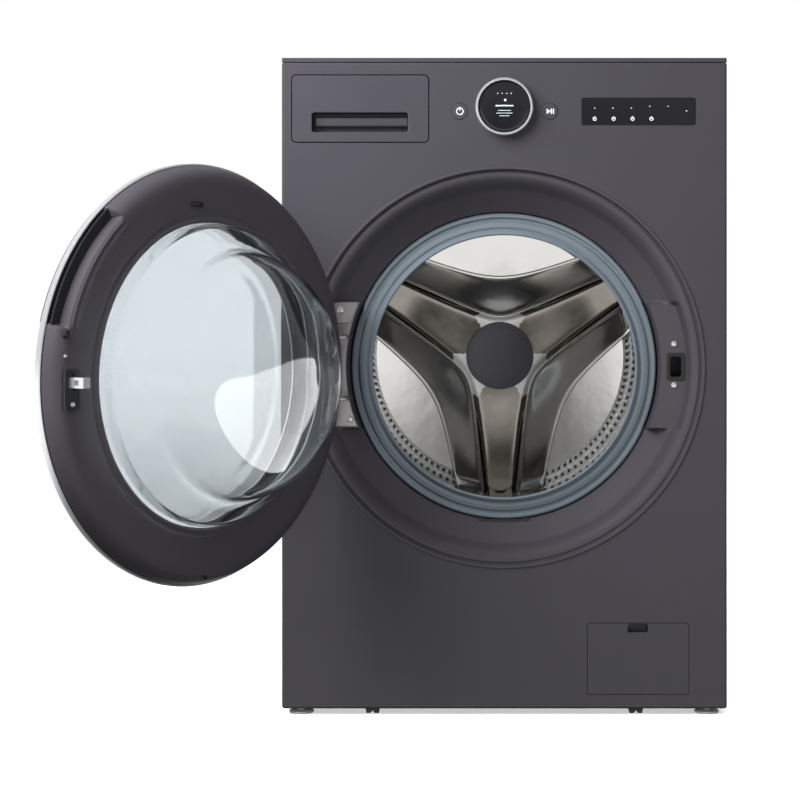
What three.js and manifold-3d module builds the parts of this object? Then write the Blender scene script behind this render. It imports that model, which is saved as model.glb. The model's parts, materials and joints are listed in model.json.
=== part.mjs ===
// Front load washing machine with its door standing open, in millimetres, +Z up.
// X runs to the right as seen from the front, Y runs into the machine, and the origin is on the floor
// under the middle of the cabinet. Inside each group y is the depth behind the front panel's face.
import * as THREE from "three";
import { mergeVertices } from "three/addons/utils/BufferGeometryUtils.js";
import Module from "manifold-3d";

const wasm = await Module();
wasm.setup();

// ---- Driving dimensions ----
const WIDTH = 600;
const DEPTH = 600;
const HEIGHT = 886;
const FLOOR_GAP = 9; // from the floor to the cabinet's lower edge
const SHEET = 1; // steel of the cabinet
const GAP = 0.4; // between pieces that are fastened face to face
const TOP_COVER = 5.7; // height of the top panel
const AXIS_Z = 469; // height of the drum's axis
const DOOR_OPEN = 126; // degrees from closed

const HALF = WIDTH / 2;
const INSIDE = HALF - SHEET - GAP; // half width between the side panels
const LID_Z = HEIGHT - TOP_COVER;
const REAR = DEPTH - 8; // depth of the rear panel's outer face
const RING_STEPS = 40; // sides of the rings round the door opening
const DRUM_STEPS = 24;
const SMALL_STEPS = 24;

// Radii about the drum's axis
const BEZEL_R = 271;
const RECESS_R = 268; // hole in the front panel
const SEAL_R = 209.3; // outer edge of the gasket's face
const MOUTH_R = 178.5; // clear opening of the gasket
const DRUM_R = 250;
const TUB_R = 258; // inside of the tub
const HUB_R = 53;
const DOOR_R = 260;
const GLASS_R = 187.5; // hole in the door's inner frame
const WINDOW_R = 184; // clear middle of the outer glass

// Depths behind the front face
const DRUM_FRONT = 112;
const DRUM_RIM = 126.4; // where the front ring meets the drum's wall
const DRUM_NECK = 404; // where the back's flank leaves the wall
const DRUM_BACK = 465;
const TUB_FRONT = 98;
const TUB_SPLIT = 262;
const TUB_BACK = 492;
const TUB_WALL = 5;
const DRUM_SHEET = 1.5;
const SPRING_X = 190; // of the two springs that hang the tub
const DOOR_FACE = -40;

// The door turns about a vertical pin in front of the bezel's left side.
const HINGE = { x: -237, y: -27, reach: 25, pinR: 4, eyeR: 6.5, earZ: 39, earThick: 4 };
const HINGE_PLATE = { x0: -238, x1: -207, z0: -81, z1: 88, y0: 18.7, y1: 21.6 };
// Flat land with walls on each side of the bezel, for the hinge on the left and the lock on the right
const LAND = { x: 241, z0: -86, z1: 90, front: 22, back: 28.3, wall: 3 };
const LATCH = { x: 234, z: 0, width: 22, height: 34 };

// Front panel fittings: x and height above the floor
const DRAWER = { x0: -286, x1: -102, z0: 772.5, z1: 862.5, corner: 6, thick: 24, length: 285 };
const PULL = { x0: -259, x1: -130, z0: 786, z1: 812, depth: 20 };
const DIAL = { x: 0, z: 819.5, r: 39, faceR: 34.6, proud: 14 };
const BUTTON = { power: -60, start: 61.5, z: 814, r: 11, proud: 0.8 };
const DISPLAY = { x0: 104.7, x1: 257.4, z0: 795.7, z1: 831.8, corner: 2 };
const FLAP = { x0: 112, x1: 248.5, z0: 28.4, z1: 124.2, corner: 3, thick: 3 };
const NOTCH = { x0: 166.6, x1: 193.6, z0: 112, z1: 122, corner: 2 };
const FILTER = { x: 180, z: 76, r: 27 };
const FOOT = { x: 275, front: 22.5, back: DEPTH - 44, padR: 17 };

// ---- Materials ----
function finish(color, roughness, metalness = 0, opacity = 1) {
  return new THREE.MeshStandardMaterial({ color, roughness, metalness, opacity, transparent: opacity < 1 });
}
const paint = finish(0x4a474d, 0.42, 0.5);
const zinc = finish(0xa9abad, 0.4, 0.9);
const bezelPlastic = finish(0x38343c, 0.5);
const blackPlastic = finish(0x1b1a1d, 0.55);
const blackGlass = finish(0x0b0b0e, 0.08);
const silver = finish(0xc9ccd0, 0.22, 0.95);
const rubber = finish(0x6c7a86, 0.6);
const stainless = finish(0xb4b2ad, 0.2, 0.95);
const slate = finish(0x3d4148, 0.6);
const clearGlass = finish(0xd8e6ea, 0.03, 0, 0.35);
const tubPlastic = finish(0x9a9ca0, 0.6);
const concrete = finish(0x9b9b98, 0.9);
const aluminium = finish(0xb9bcc0, 0.45, 0.8);
const copper = finish(0xa05a32, 0.4, 0.8);
const bluePlastic = finish(0x2f6fae, 0.35);
const whitePlastic = finish(0xd9dadb, 0.45);
const circuit = finish(0x1f5a3c, 0.6);

// ---- Solids: every shape below is a closed geometry ----
function solid(geometry) {
  const bare = geometry.clone();
  bare.deleteAttribute("normal");
  bare.deleteAttribute("uv");
  const merged = mergeVertices(bare, 1e-4);
  return new wasm.Manifold(
    new wasm.Mesh({
      numProp: 3,
      vertProperties: merged.attributes.position.array,
      triVerts: new Uint32Array(merged.index.array),
    }),
  );
}

function geometryOf(body) {
  const mesh = body.getMesh();
  const geometry = new THREE.BufferGeometry();
  geometry.setAttribute("position", new THREE.BufferAttribute(new Float32Array(mesh.vertProperties), 3));
  geometry.setIndex(new THREE.BufferAttribute(new Uint32Array(mesh.triVerts), 1));
  geometry.computeVertexNormals();
  return geometry;
}

const join = (...shapes) => geometryOf(shapes.map(solid).reduce((whole, next) => whole.add(next)));
const cut = (shape, ...tools) =>
  geometryOf(tools.map(solid).reduce((left, tool) => left.subtract(tool), solid(shape)));
const common = (shape, other) => geometryOf(solid(shape).intersect(solid(other)));

// The same shape on the other side of the x = 0 plane.
function mirrored(shape) {
  const other = geometryOf(solid(shape)).scale(-1, 1, 1);
  other.index.array.reverse();
  return other;
}

function block(x0, x1, y0, y1, z0, z1) {
  const box = new THREE.BoxGeometry(x1 - x0, y1 - y0, z1 - z0);
  return box.translate((x0 + x1) / 2, (y0 + y1) / 2, (z0 + z1) / 2);
}

// A body of revolution about the y axis. The profile is a list of [radius, depth].
function turned(profile, steps = RING_STEPS) {
  const onAxis = profile[0][0] === 0 && profile.at(-1)[0] === 0;
  const points = (onAxis ? profile : [...profile, profile[0]]).map(([r, y]) => new THREE.Vector2(r, y));
  const outward = solid(new THREE.LatheGeometry(points, steps)).volume() > 0;
  return new THREE.LatheGeometry(outward ? points : points.reverse(), steps);
}

const disc = (r, y0, y1, steps) => turned([[0, y0], [r, y0], [r, y1], [0, y1]], steps);
const ring = (r0, r1, y0, y1, steps = DRUM_STEPS) =>
  turned([[r0, y0], [r1, y0], [r1, y1], [r0, y1]], steps);

// A round post along z.
function post(x, y, z0, z1, r, steps = 20) {
  const upright = new THREE.CylinderGeometry(r, r, z1 - z0, steps).rotateX(Math.PI / 2);
  return upright.translate(x, y, (z0 + z1) / 2);
}

function roundedRect(x0, x1, z0, z1, r) {
  const shape = new THREE.Shape();
  shape.moveTo(x0 + r, z0);
  shape.lineTo(x1 - r, z0);
  shape.absarc(x1 - r, z0 + r, r, -Math.PI / 2, 0);
  shape.lineTo(x1, z1 - r);
  shape.absarc(x1 - r, z1 - r, r, 0, Math.PI / 2);
  shape.lineTo(x0 + r, z1);
  shape.absarc(x0 + r, z1 - r, r, Math.PI / 2, Math.PI);
  shape.lineTo(x0, z0 + r);
  shape.absarc(x0 + r, z0 + r, r, Math.PI, 1.5 * Math.PI);
  return shape;
}

// An upright outline in x and z, extruded from depth y0 to y1.
function slab(shape, y0, y1, curveSegments = 4) {
  const geometry = new THREE.ExtrudeGeometry(shape, { depth: y1 - y0, bevelEnabled: false, curveSegments });
  return geometry.rotateX(Math.PI / 2).translate(0, y1, 0);
}

const plate = (x0, x1, z0, z1, r, y0, y1) => slab(roundedRect(x0, x1, z0, z1, r), y0, y1);

// A round tube or bar along a smooth curve through the points.
function bar(points, r, steps, sides = 8) {
  const section = new THREE.Shape();
  for (let i = 0; i < sides; i++) {
    const turn = (2 * Math.PI * i) / sides;
    section[i ? "lineTo" : "moveTo"](r * Math.cos(turn), r * Math.sin(turn));
  }
  section.closePath();
  const path = new THREE.CatmullRomCurve3(points.map((p) => new THREE.Vector3(...p)));
  return new THREE.ExtrudeGeometry(section, { steps, extrudePath: path });
}

// ---- Groups ----
const machine = new THREE.Group();

function groupAt(parent, x, y, z) {
  const group = new THREE.Group();
  group.position.set(x, y, z);
  parent.add(group);
  return group;
}

const cabinet = groupAt(machine, 0, -DEPTH / 2, 0); // z is the height above the floor
const wash = groupAt(machine, 0, -DEPTH / 2, AXIS_Z); // z is measured from the drum's axis
const swing = groupAt(wash, HINGE.x, HINGE.y, 0);
swing.rotation.z = THREE.MathUtils.degToRad(-DOOR_OPEN);
const door = groupAt(swing, -HINGE.x, -HINGE.y, 0); // the door as it is when closed

function add(group, name, geometry, material) {
  const mesh = new THREE.Mesh(geometry, material);
  mesh.name = name;
  group.add(mesh);
  return mesh;
}

// ---- Cabinet ----
const FRONT_FOLD = 25; // depth of the front panel's folded edges
const BOTTOM_FOLD = 10; // the lower one is shorter, to clear the front feet

function frontPanel() {
  const outer = block(-HALF, HALF, 0, FRONT_FOLD, FLOOR_GAP, LID_Z);
  const within = HALF - SHEET;
  const hollow = block(-within, within, SHEET, FRONT_FOLD + 1, FLOOR_GAP + SHEET, LID_Z - SHEET);
  const shortened = block(-within, within, BOTTOM_FOLD, FRONT_FOLD + 1, 0, FLOOR_GAP + 2 * SHEET);
  const through = [-5, SHEET + 5];
  const hole = (box, gap) =>
    plate(box.x0 - gap, box.x1 + gap, box.z0 - gap, box.z1 + gap, box.corner + gap, ...through);
  const round = (x, z, r, steps) => disc(r, ...through, steps).translate(x, 0, z);
  return cut(
    outer,
    hollow,
    shortened,
    round(0, AXIS_Z, RECESS_R),
    round(DIAL.x, DIAL.z, DIAL.faceR + GAP, SMALL_STEPS),
    round(BUTTON.power, BUTTON.z, BUTTON.r + GAP, SMALL_STEPS),
    round(BUTTON.start, BUTTON.z, BUTTON.r + GAP, SMALL_STEPS),
    hole(DRAWER, 1),
    hole(DISPLAY, GAP),
    hole(FLAP, 1),
  );
}

function sidePanel(side) {
  const skin = block(HALF - SHEET, HALF, FRONT_FOLD + GAP, DEPTH, FLOOR_GAP, LID_Z);
  const rearFold = block(HALF - 20, HALF, DEPTH - SHEET, DEPTH, FLOOR_GAP, LID_Z);
  const topFold = block(HALF - 16, HALF, FRONT_FOLD + GAP, DEPTH, LID_Z - SHEET, LID_Z);
  const shape = join(skin, rearFold, topFold);
  return side > 0 ? shape : mirrored(shape);
}

const INLETS = [-232, -192]; // x of the two water inlets
const INLET_Z = 812;
const STUB_END = REAR + 14; // depth that the inlets and outlets reach
const OUTLET = { x: 210, z: 806, r: 13, boreR: 10 }; // drain outlet
const GLAND = { x: 210, z: 772, r: 8, boreR: 4.2 }; // where the mains lead would enter
const SERVICE_R = 190; // opening in the rear panel, behind the motor

function rearPanel() {
  const sheet = block(-INSIDE, INSIDE, REAR - SHEET, REAR, 50.4, LID_Z - 2 * SHEET - GAP);
  const hole = (x, z, r) => disc(r, REAR - 9, REAR + 5, SMALL_STEPS).translate(x, 0, z);
  const inlets = INLETS.map((x) => hole(x, INLET_Z, 13.5));
  const outlets = [OUTLET, GLAND].map(({ x, z, boreR }) => hole(x, z, boreR + 1));
  const service = disc(SERVICE_R, REAR - 9, REAR + 5).translate(0, 0, AXIS_Z);
  return cut(sheet, service, ...outlets, ...inlets);
}

// The moulded block on the rear panel that holds the drain outlet and the mains lead's gland.
function outletBlock() {
  const face = REAR + GAP;
  const flange = plate(OUTLET.x - 22, OUTLET.x + 22, GLAND.z - 18, OUTLET.z + 22, 4, face, face + 4);
  const stub = ({ x, z }, r) => disc(r, face, STUB_END, SMALL_STEPS).translate(x, 0, z);
  const bore = ({ x, z, boreR }) => disc(boreR, face - 5, STUB_END + 5, SMALL_STEPS).translate(x, 0, z);
  return cut(join(flange, stub(OUTLET, OUTLET.r), stub(GLAND, GLAND.r)), bore(OUTLET), bore(GLAND));
}

function serviceCover() {
  const edge = REAR + GAP;
  return turned([
    [0, edge + 4.5], [SERVICE_R - 22, edge + 4.5], [SERVICE_R - 14, edge],
    [SERVICE_R + 14, edge], [SERVICE_R + 14, edge + SHEET],
    [SERVICE_R - 13, edge + SHEET], [SERVICE_R - 21, edge + 6.1], [0, edge + 6.1],
  ], DRUM_STEPS);
}

function topPanel() {
  const outline = roundedRect(-HALF, HALF, -DEPTH, 0, 3);
  const height = TOP_COVER - GAP;
  const skin = new THREE.ExtrudeGeometry(outline, { depth: height, bevelEnabled: false, curveSegments: 3 });
  skin.translate(0, DEPTH, LID_Z + GAP);
  const rim = 14;
  return cut(skin, block(-HALF + rim, HALF - rim, rim, DEPTH - rim, LID_Z - 1, HEIGHT - 2));
}

const PAN_TOP = 50;
const PAN_FLOOR = FLOOR_GAP + 3;
const DISH = { half: 190, z: 4 }; // lowered middle of the base pan

function basePan() {
  const y0 = FRONT_FOLD + GAP;
  const y1 = REAR - SHEET - GAP;
  const bottom = FLOOR_GAP + GAP;
  const outer = block(-INSIDE, INSIDE, y0, y1, bottom, PAN_TOP);
  const dish = block(-DISH.half, DISH.half, 110, 490, DISH.z, bottom + 1);
  const hollow = block(-INSIDE + 3, INSIDE - 3, y0 + 3, y1 - 3, PAN_FLOOR, PAN_TOP + 1);
  const dishHollow = block(-DISH.half + 3, DISH.half - 3, 113, 487, DISH.z + 2.5, PAN_FLOOR + 1);
  const tray = cut(join(outer, dish), hollow, dishHollow);
  const bosses = footPlaces().map(([x, y]) => post(x, y, bottom, 34, 12));
  const skids = [-178, 178].map((x) => skid(x, BOTTOM_FOLD + 1, bottom));
  const stems = footPlaces().map(([x, y]) => post(x, y, 0, 60, 5.4));
  return cut(join(tray, ...bosses, ...skids), ...stems);
}

// A two-lobed skid under the base pan. It reaches forward to the front panel's lower fold.
function skid(x, y, z) {
  const shape = new THREE.Shape();
  shape.moveTo(x - 10.5, z + 1);
  shape.lineTo(x - 8.5, 1);
  shape.lineTo(x - 3, 1);
  shape.lineTo(x, 4.5);
  shape.lineTo(x + 3, 1);
  shape.lineTo(x + 8.5, 1);
  shape.lineTo(x + 10.5, z + 1);
  shape.closePath();
  return slab(shape, y, y + 44);
}

const footPlaces = () => [FOOT.front, FOOT.back].flatMap((y) => [[-FOOT.x, y], [FOOT.x, y]]);

// A levelling foot: pad, hexagon flats and threaded stem, turned about z.
function foot(x, y) {
  const pad = post(x, y, 0, 4, FOOT.padR, 28);
  const flats = post(x, y, 3.5, 8.8, 7, 6);
  const stem = post(x, y, 3, 46, 5, 16);
  return join(pad, flats, stem);
}

add(cabinet, "front_panel", frontPanel(), paint);
add(cabinet, "left_side_panel", sidePanel(-1), paint);
add(cabinet, "right_side_panel", sidePanel(1), paint);
add(cabinet, "rear_panel", rearPanel(), zinc);
add(cabinet, "rear_service_cover", serviceCover().translate(0, 0, AXIS_Z), zinc);
add(cabinet, "rear_outlet_block", outletBlock(), blackPlastic);
add(cabinet, "top_panel", topPanel(), paint);
add(cabinet, "base_pan", basePan(), blackPlastic);
["front_left", "front_right", "rear_left", "rear_right"].forEach((place, i) => {
  add(cabinet, "foot_" + place, foot(...footPlaces()[i]), zinc);
});

// ---- Drain filter behind its flap ----
function filterFlap() {
  const skin = plate(FLAP.x0, FLAP.x1, FLAP.z0, FLAP.z1, FLAP.corner, 0, FLAP.thick);
  const notch = plate(NOTCH.x0, NOTCH.x1, NOTCH.z0, NOTCH.z1, NOTCH.corner, -1, FLAP.thick + 1);
  const lip = block(NOTCH.x0 - 2.6, NOTCH.x1 + 2.4, FLAP.thick - 0.2, 9, NOTCH.z0 - 4, NOTCH.z0 - 2);
  const barrel = block(FLAP.x0 + 12, FLAP.x1 - 12, FLAP.thick - 1, FLAP.thick + 2, FLAP.z0, FLAP.z0 + 4);
  return join(cut(skin, notch), lip, barrel);
}

function filterCap() {
  const { r } = FILTER;
  const cap = turned([[0, 34], [r, 34], [r, 48], [r - 4, 50], [r - 4, 70], [0, 70]], SMALL_STEPS);
  const grip = block(-21, 21, 18, 35, -4.5, 4.5);
  return join(cap, grip);
}

function drainPump() {
  const socket = ring(FILTER.r - 3, FILTER.r + 5, 51, 82, SMALL_STEPS);
  const back = disc(FILTER.r + 5, 78, 96, SMALL_STEPS);
  const motor = disc(21, 95, 150, SMALL_STEPS);
  const spigot = bar([[0, 88, 20], [0, 88, 45], [0, 88, 56]], 13, 4, 12);
  const legs = [-1, 1].map((side) => block(side * 20 - 5, side * 20 + 5, 84, 94, -63.4, 0));
  return join(socket, back, motor, spigot, ...legs);
}

add(cabinet, "filter_door", filterFlap(), paint);
add(cabinet, "drain_filter_cap", filterCap().translate(FILTER.x, 0, FILTER.z), whitePlastic);
add(cabinet, "drain_pump", drainPump().translate(FILTER.x, 0, FILTER.z), whitePlastic);

// ---- Detergent drawer ----
const TRAY = { x0: -276, x1: -112, z0: 778, z1: 852, wall: 3 };

function drawerFront() {
  const face = plate(DRAWER.x0, DRAWER.x1, DRAWER.z0, DRAWER.z1, DRAWER.corner, 0, DRAWER.thick);
  return cut(face, plate(PULL.x0, PULL.x1, PULL.z0, PULL.z1, 3, -1, PULL.depth));
}

function drawerTray() {
  const { x0, x1, z0, z1, wall } = TRAY;
  const y0 = DRAWER.thick + GAP;
  const y1 = DRAWER.length;
  const split = x0 + 96; // wall between the main wash and the softener
  const step = y0 + 110; // wall between the softener and the prewash
  const pocket = (a, b, c, d) => block(a, b, c, d, z0 + wall, z1 + 1);
  return cut(
    block(x0, x1, y0, y1, z0, z1),
    pocket(x0 + wall, split - wall, y0 + wall, y1 - wall),
    pocket(split, x1 - wall, y0 + wall, step - wall),
    pocket(split, x1 - wall, step, y1 - wall),
  );
}

function dispenserHousing() {
  const outer = block(TRAY.x0 - 8, TRAY.x1 + 8, 29, 318, TRAY.z0 - 9, TRAY.z1 + 14);
  const cavity = block(TRAY.x0 - 4, TRAY.x1 + 4, 20, 312, TRAY.z0 - 4, TRAY.z1 + 10);
  const spout = turned([[14, 0], [18, 0], [18, 34], [14, 34]], 20).rotateX(Math.PI / 2);
  const drop = post(-200, 280, TRAY.z0 - 20, TRAY.z0, 14);
  return cut(join(outer, spout.translate(-200, 280, TRAY.z0 - 34)), cavity, drop);
}

function siphonCap() {
  const lid = block(-176, -119, DRAWER.thick + 8, DRAWER.thick + 70, 843, 846);
  const tube = post(-147, DRAWER.thick + 40, 784, 844, 8, 16);
  return join(lid, tube);
}

add(cabinet, "drawer_front", drawerFront(), paint);
add(cabinet, "drawer_tray", drawerTray(), whitePlastic);
add(cabinet, "siphon_cap", siphonCap(), bluePlastic);
add(cabinet, "dispenser_housing", dispenserHousing(), whitePlastic);

// ---- Controls ----
function dialRing() {
  const { r, faceR, proud } = DIAL;
  const inner = faceR + GAP;
  return turned([[inner, -1], [inner, -proud], [r - 1.2, -proud], [r, -proud + 1.4], [r, -1]], 36);
}

function dialFace() {
  const { faceR, proud } = DIAL;
  return turned([[0, 2 - proud], [faceR - 2, 2 - proud], [faceR, 3 - proud], [faceR, 6], [0, 6]], 36);
}

function button() {
  const { r, proud } = BUTTON;
  return turned([[0, -proud], [r - 0.6, -proud], [r, 0], [r, 7], [0, 7]], SMALL_STEPS);
}

const displayPanel = () =>
  plate(DISPLAY.x0, DISPLAY.x1, DISPLAY.z0, DISPLAY.z1, DISPLAY.corner, -0.5, 3);

add(cabinet, "dial_ring", dialRing().translate(DIAL.x, 0, DIAL.z), silver);
add(cabinet, "dial_display", dialFace().translate(DIAL.x, 0, DIAL.z), blackGlass);
add(cabinet, "power_button", button().translate(BUTTON.power, 0, BUTTON.z), paint);
add(cabinet, "start_button", button().translate(BUTTON.start, 0, BUTTON.z), paint);
add(cabinet, "display_panel", displayPanel(), blackGlass);
add(cabinet, "control_board", block(-90, 270, 14, 24, 786, 850), circuit);
add(cabinet, "main_controller", block(90, 280, 420, 560, 760, 830), blackPlastic);

function inletValve() {
  const body = block(-252, -172, REAR - 70, REAR - 16, INLET_Z - 22, INLET_Z + 22);
  const spigots = INLETS.map((x) => ring(8, 12.5, REAR - 18, STUB_END).translate(x, 0, INLET_Z));
  const coils = INLETS.map((x) => block(x - 14, x + 14, REAR - 100, REAR - 69, INLET_Z - 18, INLET_Z + 18));
  return join(body, ...spigots, ...coils);
}

add(cabinet, "inlet_valve", inletValve(), whitePlastic);

// ---- Door bezel, gasket, latch and hinge on the cabinet ----
function bezel() {
  const rim = turned([
    [BEZEL_R, -0.5], [266.5, -1.9], [264.5, 1.5], [254, 5.5], [244, 16], [238, 24],
    [211, 46.5], [210.3, 50], [213.5, 50],
    [241, 27.5], [247.5, 19], [256, 9.5], [267.4, 5], [267.4, -0.5],
  ]);
  const { x, z0, z1, front, back, wall } = LAND;
  const backing = turned([
    [211, 46.5], [238, 24], [244, 16], [254, 5.5], [262, 4], [262, 50], [211, 50],
  ], RING_STEPS);
  const frame = common(block(190, x + 5, -5, 50, z0 - wall, z1 + wall), backing);
  const land = common(block(190, x + 2, front, 50, z0, z1), ring(212.5, 262, front, 50, RING_STEPS));
  const niche = block(190, x, -5, front, z0, z1);
  const hollow = cut(block(190, 262, back, 60, z0 + wall, z1 - wall), disc(215.5, 20, 70, RING_STEPS));
  const [wide, tall] = [LATCH.width / 2, LATCH.height / 2];
  const latchSlot = plate(LATCH.x - wide, LATCH.x + wide, LATCH.z - tall, LATCH.z + tall, 4, 0, 60);
  const bothSides = (shape) => [shape, mirrored(shape)];
  const whole = join(rim, ...bothSides(frame), ...bothSides(land));
  return cut(whole, ...bothSides(niche), ...bothSides(hollow), latchSlot);
}

function gasket() {
  return turned([
    [SEAL_R, 47], [207, 43], [193, 41], [183, 33], [MOUTH_R, 36], [188, 46], [190, 52],
    [186, 62], [190, 70], [204.5, 76], [204.5, 94], [208, 94], [208, 73],
    [191.5, 62], [195.5, 53], [194, 47.5], [SEAL_R, 50.5],
  ]);
}

function doorLock() {
  const shell = block(217, 257, 29, 62, -34, 34);
  const mouth = block(LATCH.x - 9, LATCH.x + 9, 20, 56, -15, 15);
  return cut(shell, mouth);
}

// The fixed half of the hinge: a plate with two ears that curve round the door's edge to the pin.
function hingeBracket() {
  const { x0, x1, y0, y1, z0, z1 } = HINGE_PLATE;
  const base = block(x0, x1, y0, y1, z0, z1);
  const ears = [-HINGE.earZ - HINGE.earThick, HINGE.earZ].flatMap((z) => {
    const top = z + HINGE.earThick;
    const reach = HINGE.x + HINGE.reach;
    return [
      post(HINGE.x, HINGE.y, z, top, HINGE.eyeR),
      block(HINGE.x, reach + 4, HINGE.y - 4, HINGE.y + 4, z, top),
      block(reach - 4, reach + 4, HINGE.y, y0 + 1, z, top),
    ];
  });
  return cut(join(base, ...ears), post(HINGE.x, HINGE.y, -60, 60, HINGE.pinR + 0.3));
}

add(wash, "door_bezel", bezel(), bezelPlastic);
add(wash, "door_gasket", gasket(), rubber);
add(wash, "door_lock", doorLock(), blackPlastic);
add(wash, "hinge_bracket", hingeBracket(), zinc);
add(wash, "hinge_pin", post(HINGE.x, HINGE.y, -48, 48, HINGE.pinR), zinc);

// ---- Tub, drum and drive ----
function tubFront() {
  const outer = TUB_R + TUB_WALL;
  return turned([
    [197.3, 80], [202.6, 80], [202.6, TUB_FRONT], [outer, TUB_FRONT], [outer, TUB_SPLIT - 6],
    [outer + 8, TUB_SPLIT - 6], [outer + 8, TUB_SPLIT], [TUB_R, TUB_SPLIT], [TUB_R, TUB_FRONT + TUB_WALL],
    [197.3, TUB_FRONT + TUB_WALL],
  ], DRUM_STEPS);
}

function tubRear() {
  const outer = TUB_R + TUB_WALL;
  const start = TUB_SPLIT + GAP;
  const hub = [[32, TUB_BACK + 44], [40, TUB_BACK + 44], [44, TUB_BACK + 6]];
  const shell = turned([
    [TUB_R, start], [outer + 8, start], [outer + 8, start + 6], [outer, start + 6], [outer, TUB_BACK + 6],
    ...hub.toReversed(), [32, TUB_BACK], [TUB_R, TUB_BACK],
  ], DRUM_STEPS);
  const outlet = post(70, 340, -TUB_R - 26, -TUB_R + 20, 16);
  const bore = post(70, 340, -TUB_R - 30, -TUB_R + 30, 12);
  const keep = disc(TUB_R, start, TUB_BACK, DRUM_STEPS);
  const lugRing = ring(outer - 3, 300, 320, 370);
  const lugs = [-SPRING_X, SPRING_X].map((x) => common(block(x - 9, x + 9, 330, 360, 170, 222), lugRing));
  return cut(join(shell, outlet, ...lugs), keep, bore);
}

// The pressed ring at the drum's mouth.
function drumFrontRing() {
  return turned([
    [193, DRUM_FRONT], [196, DRUM_FRONT - 3], [DRUM_R - 12, DRUM_FRONT + 4], [DRUM_R, DRUM_RIM - 0.4],
    [DRUM_R, DRUM_RIM], [DRUM_R - DRUM_SHEET, DRUM_RIM], [DRUM_R - 13, DRUM_FRONT + 5.5],
    [197, DRUM_FRONT - 1.2], [194, DRUM_FRONT + 1],
  ], DRUM_STEPS);
}

const drumShell = () => ring(DRUM_R - DRUM_SHEET, DRUM_R, DRUM_RIM + GAP, DRUM_BACK + 8);

// The drum's back: a flat disc with a rounded flank that runs forward into the wall.
function drumBack() {
  const edge = DRUM_R - 2.2;
  return turned([
    [0, DRUM_BACK - 6], [HUB_R + 20, DRUM_BACK - 6], [150, DRUM_BACK - 2], [189.5, DRUM_BACK - 3.5],
    [197.5, DRUM_BACK - 6], [221.5, DRUM_BACK - 17], [239.5, DRUM_BACK - 37], [edge - 2, DRUM_NECK + 5],
    [edge - 2, DRUM_NECK], [edge, DRUM_NECK], [edge, DRUM_NECK + 5], [241.3, DRUM_BACK - 36],
    [223, DRUM_BACK - 15], [198.5, DRUM_BACK - 4], [190, DRUM_BACK - 1.5], [150, DRUM_BACK],
    [HUB_R + 18, DRUM_BACK - 4], [0, DRUM_BACK - 4],
  ], DRUM_STEPS);
}

function hubCap() {
  return turned([
    [0, DRUM_BACK - 16], [HUB_R - 12, DRUM_BACK - 15], [HUB_R - 2, DRUM_BACK - 12],
    [HUB_R, DRUM_BACK - 6.4], [0, DRUM_BACK - 6.4],
  ], DRUM_STEPS);
}

// A paddle on the drum's wall, pointing up from the bottom.
function lifter() {
  const base = -DRUM_R + 4;
  const shape = new THREE.Shape();
  shape.moveTo(-34, base + 3.2);
  shape.quadraticCurveTo(0, base - 1.6, 34, base + 3.2);
  shape.lineTo(19, base + 40);
  shape.quadraticCurveTo(0, base + 52, -19, base + 40);
  shape.closePath();
  return slab(shape, DRUM_FRONT + 28, DRUM_NECK - 2, 5);
}

const SHAFT_R = 12.4;
const BEARING = { r0: 12.8, r1: 31.5, width: 14 };

// The cast spider behind the drum, with the steel shaft pressed into it.
function spider() {
  const y0 = DRUM_BACK + 1;
  const hub = disc(36, y0, y0 + 22, SMALL_STEPS);
  const shaft = disc(SHAFT_R, y0, TUB_BACK + 60, SMALL_STEPS);
  const arms = [0, 1, 2].map((i) => {
    const arm = block(-20, 20, y0 + 7, y0 + 19, -DRUM_R + 6, -30);
    return arm.rotateY((i * 2 * Math.PI) / 3);
  });
  return join(hub, shaft, ...arms);
}

const bearing = (y) => ring(BEARING.r0, BEARING.r1, y, y + BEARING.width);

function rotor() {
  const rim = { r: 134, front: TUB_BACK + 12, height: 38, sheet: 5, corner: 4 };
  const back = rim.front + rim.height;
  return turned([
    [BEARING.r0, back], [rim.r - rim.corner, back], [rim.r, back - rim.corner], [rim.r, rim.front],
    [rim.r - rim.sheet, rim.front], [rim.r - rim.sheet, back - rim.sheet], [BEARING.r0, back - rim.sheet],
  ], DRUM_STEPS);
}

const WEIGHT = { inner: 216, outer: 290, front: 58, back: TUB_FRONT - GAP };

function counterweight(above) {
  const { inner, outer, front, back } = WEIGHT;
  const whole = turned([
    [inner, front], [outer - 4, front], [outer, front + 4],
    [outer, back - 5], [outer - 4, back], [inner, back],
  ], DRUM_STEPS);
  const [low, high] = above ? [70, 300] : [-300, -150];
  return common(whole, block(-300, 300, 0, 200, low, high));
}

function hangingSpring(side) {
  const coil = { turns: 6, steps: 8, r: 12, top: 356, bottom: 246 };
  const count = coil.turns * coil.steps;
  const points = [];
  for (let i = 0; i <= count; i++) {
    const turn = (i / coil.steps) * 2 * Math.PI;
    const z = coil.top + ((coil.bottom - coil.top) * i) / count;
    points.push([side * SPRING_X + coil.r * Math.cos(turn), 345 + coil.r * Math.sin(turn), z]);
  }
  return bar(points, 2, count, 4);
}

// A friction damper from the base to the lower flank of the tub.
function damper(side) {
  const body = new THREE.CylinderGeometry(14, 14, 110, 20).translate(0, -70, 0);
  const rod = new THREE.CylinderGeometry(6, 6, 100, 14).translate(0, 20, 0);
  const shape = join(body, rod).rotateX(Math.PI / 2).rotateY(side * 0.35);
  return shape.translate(side * 205, 300, -300);
}

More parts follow.
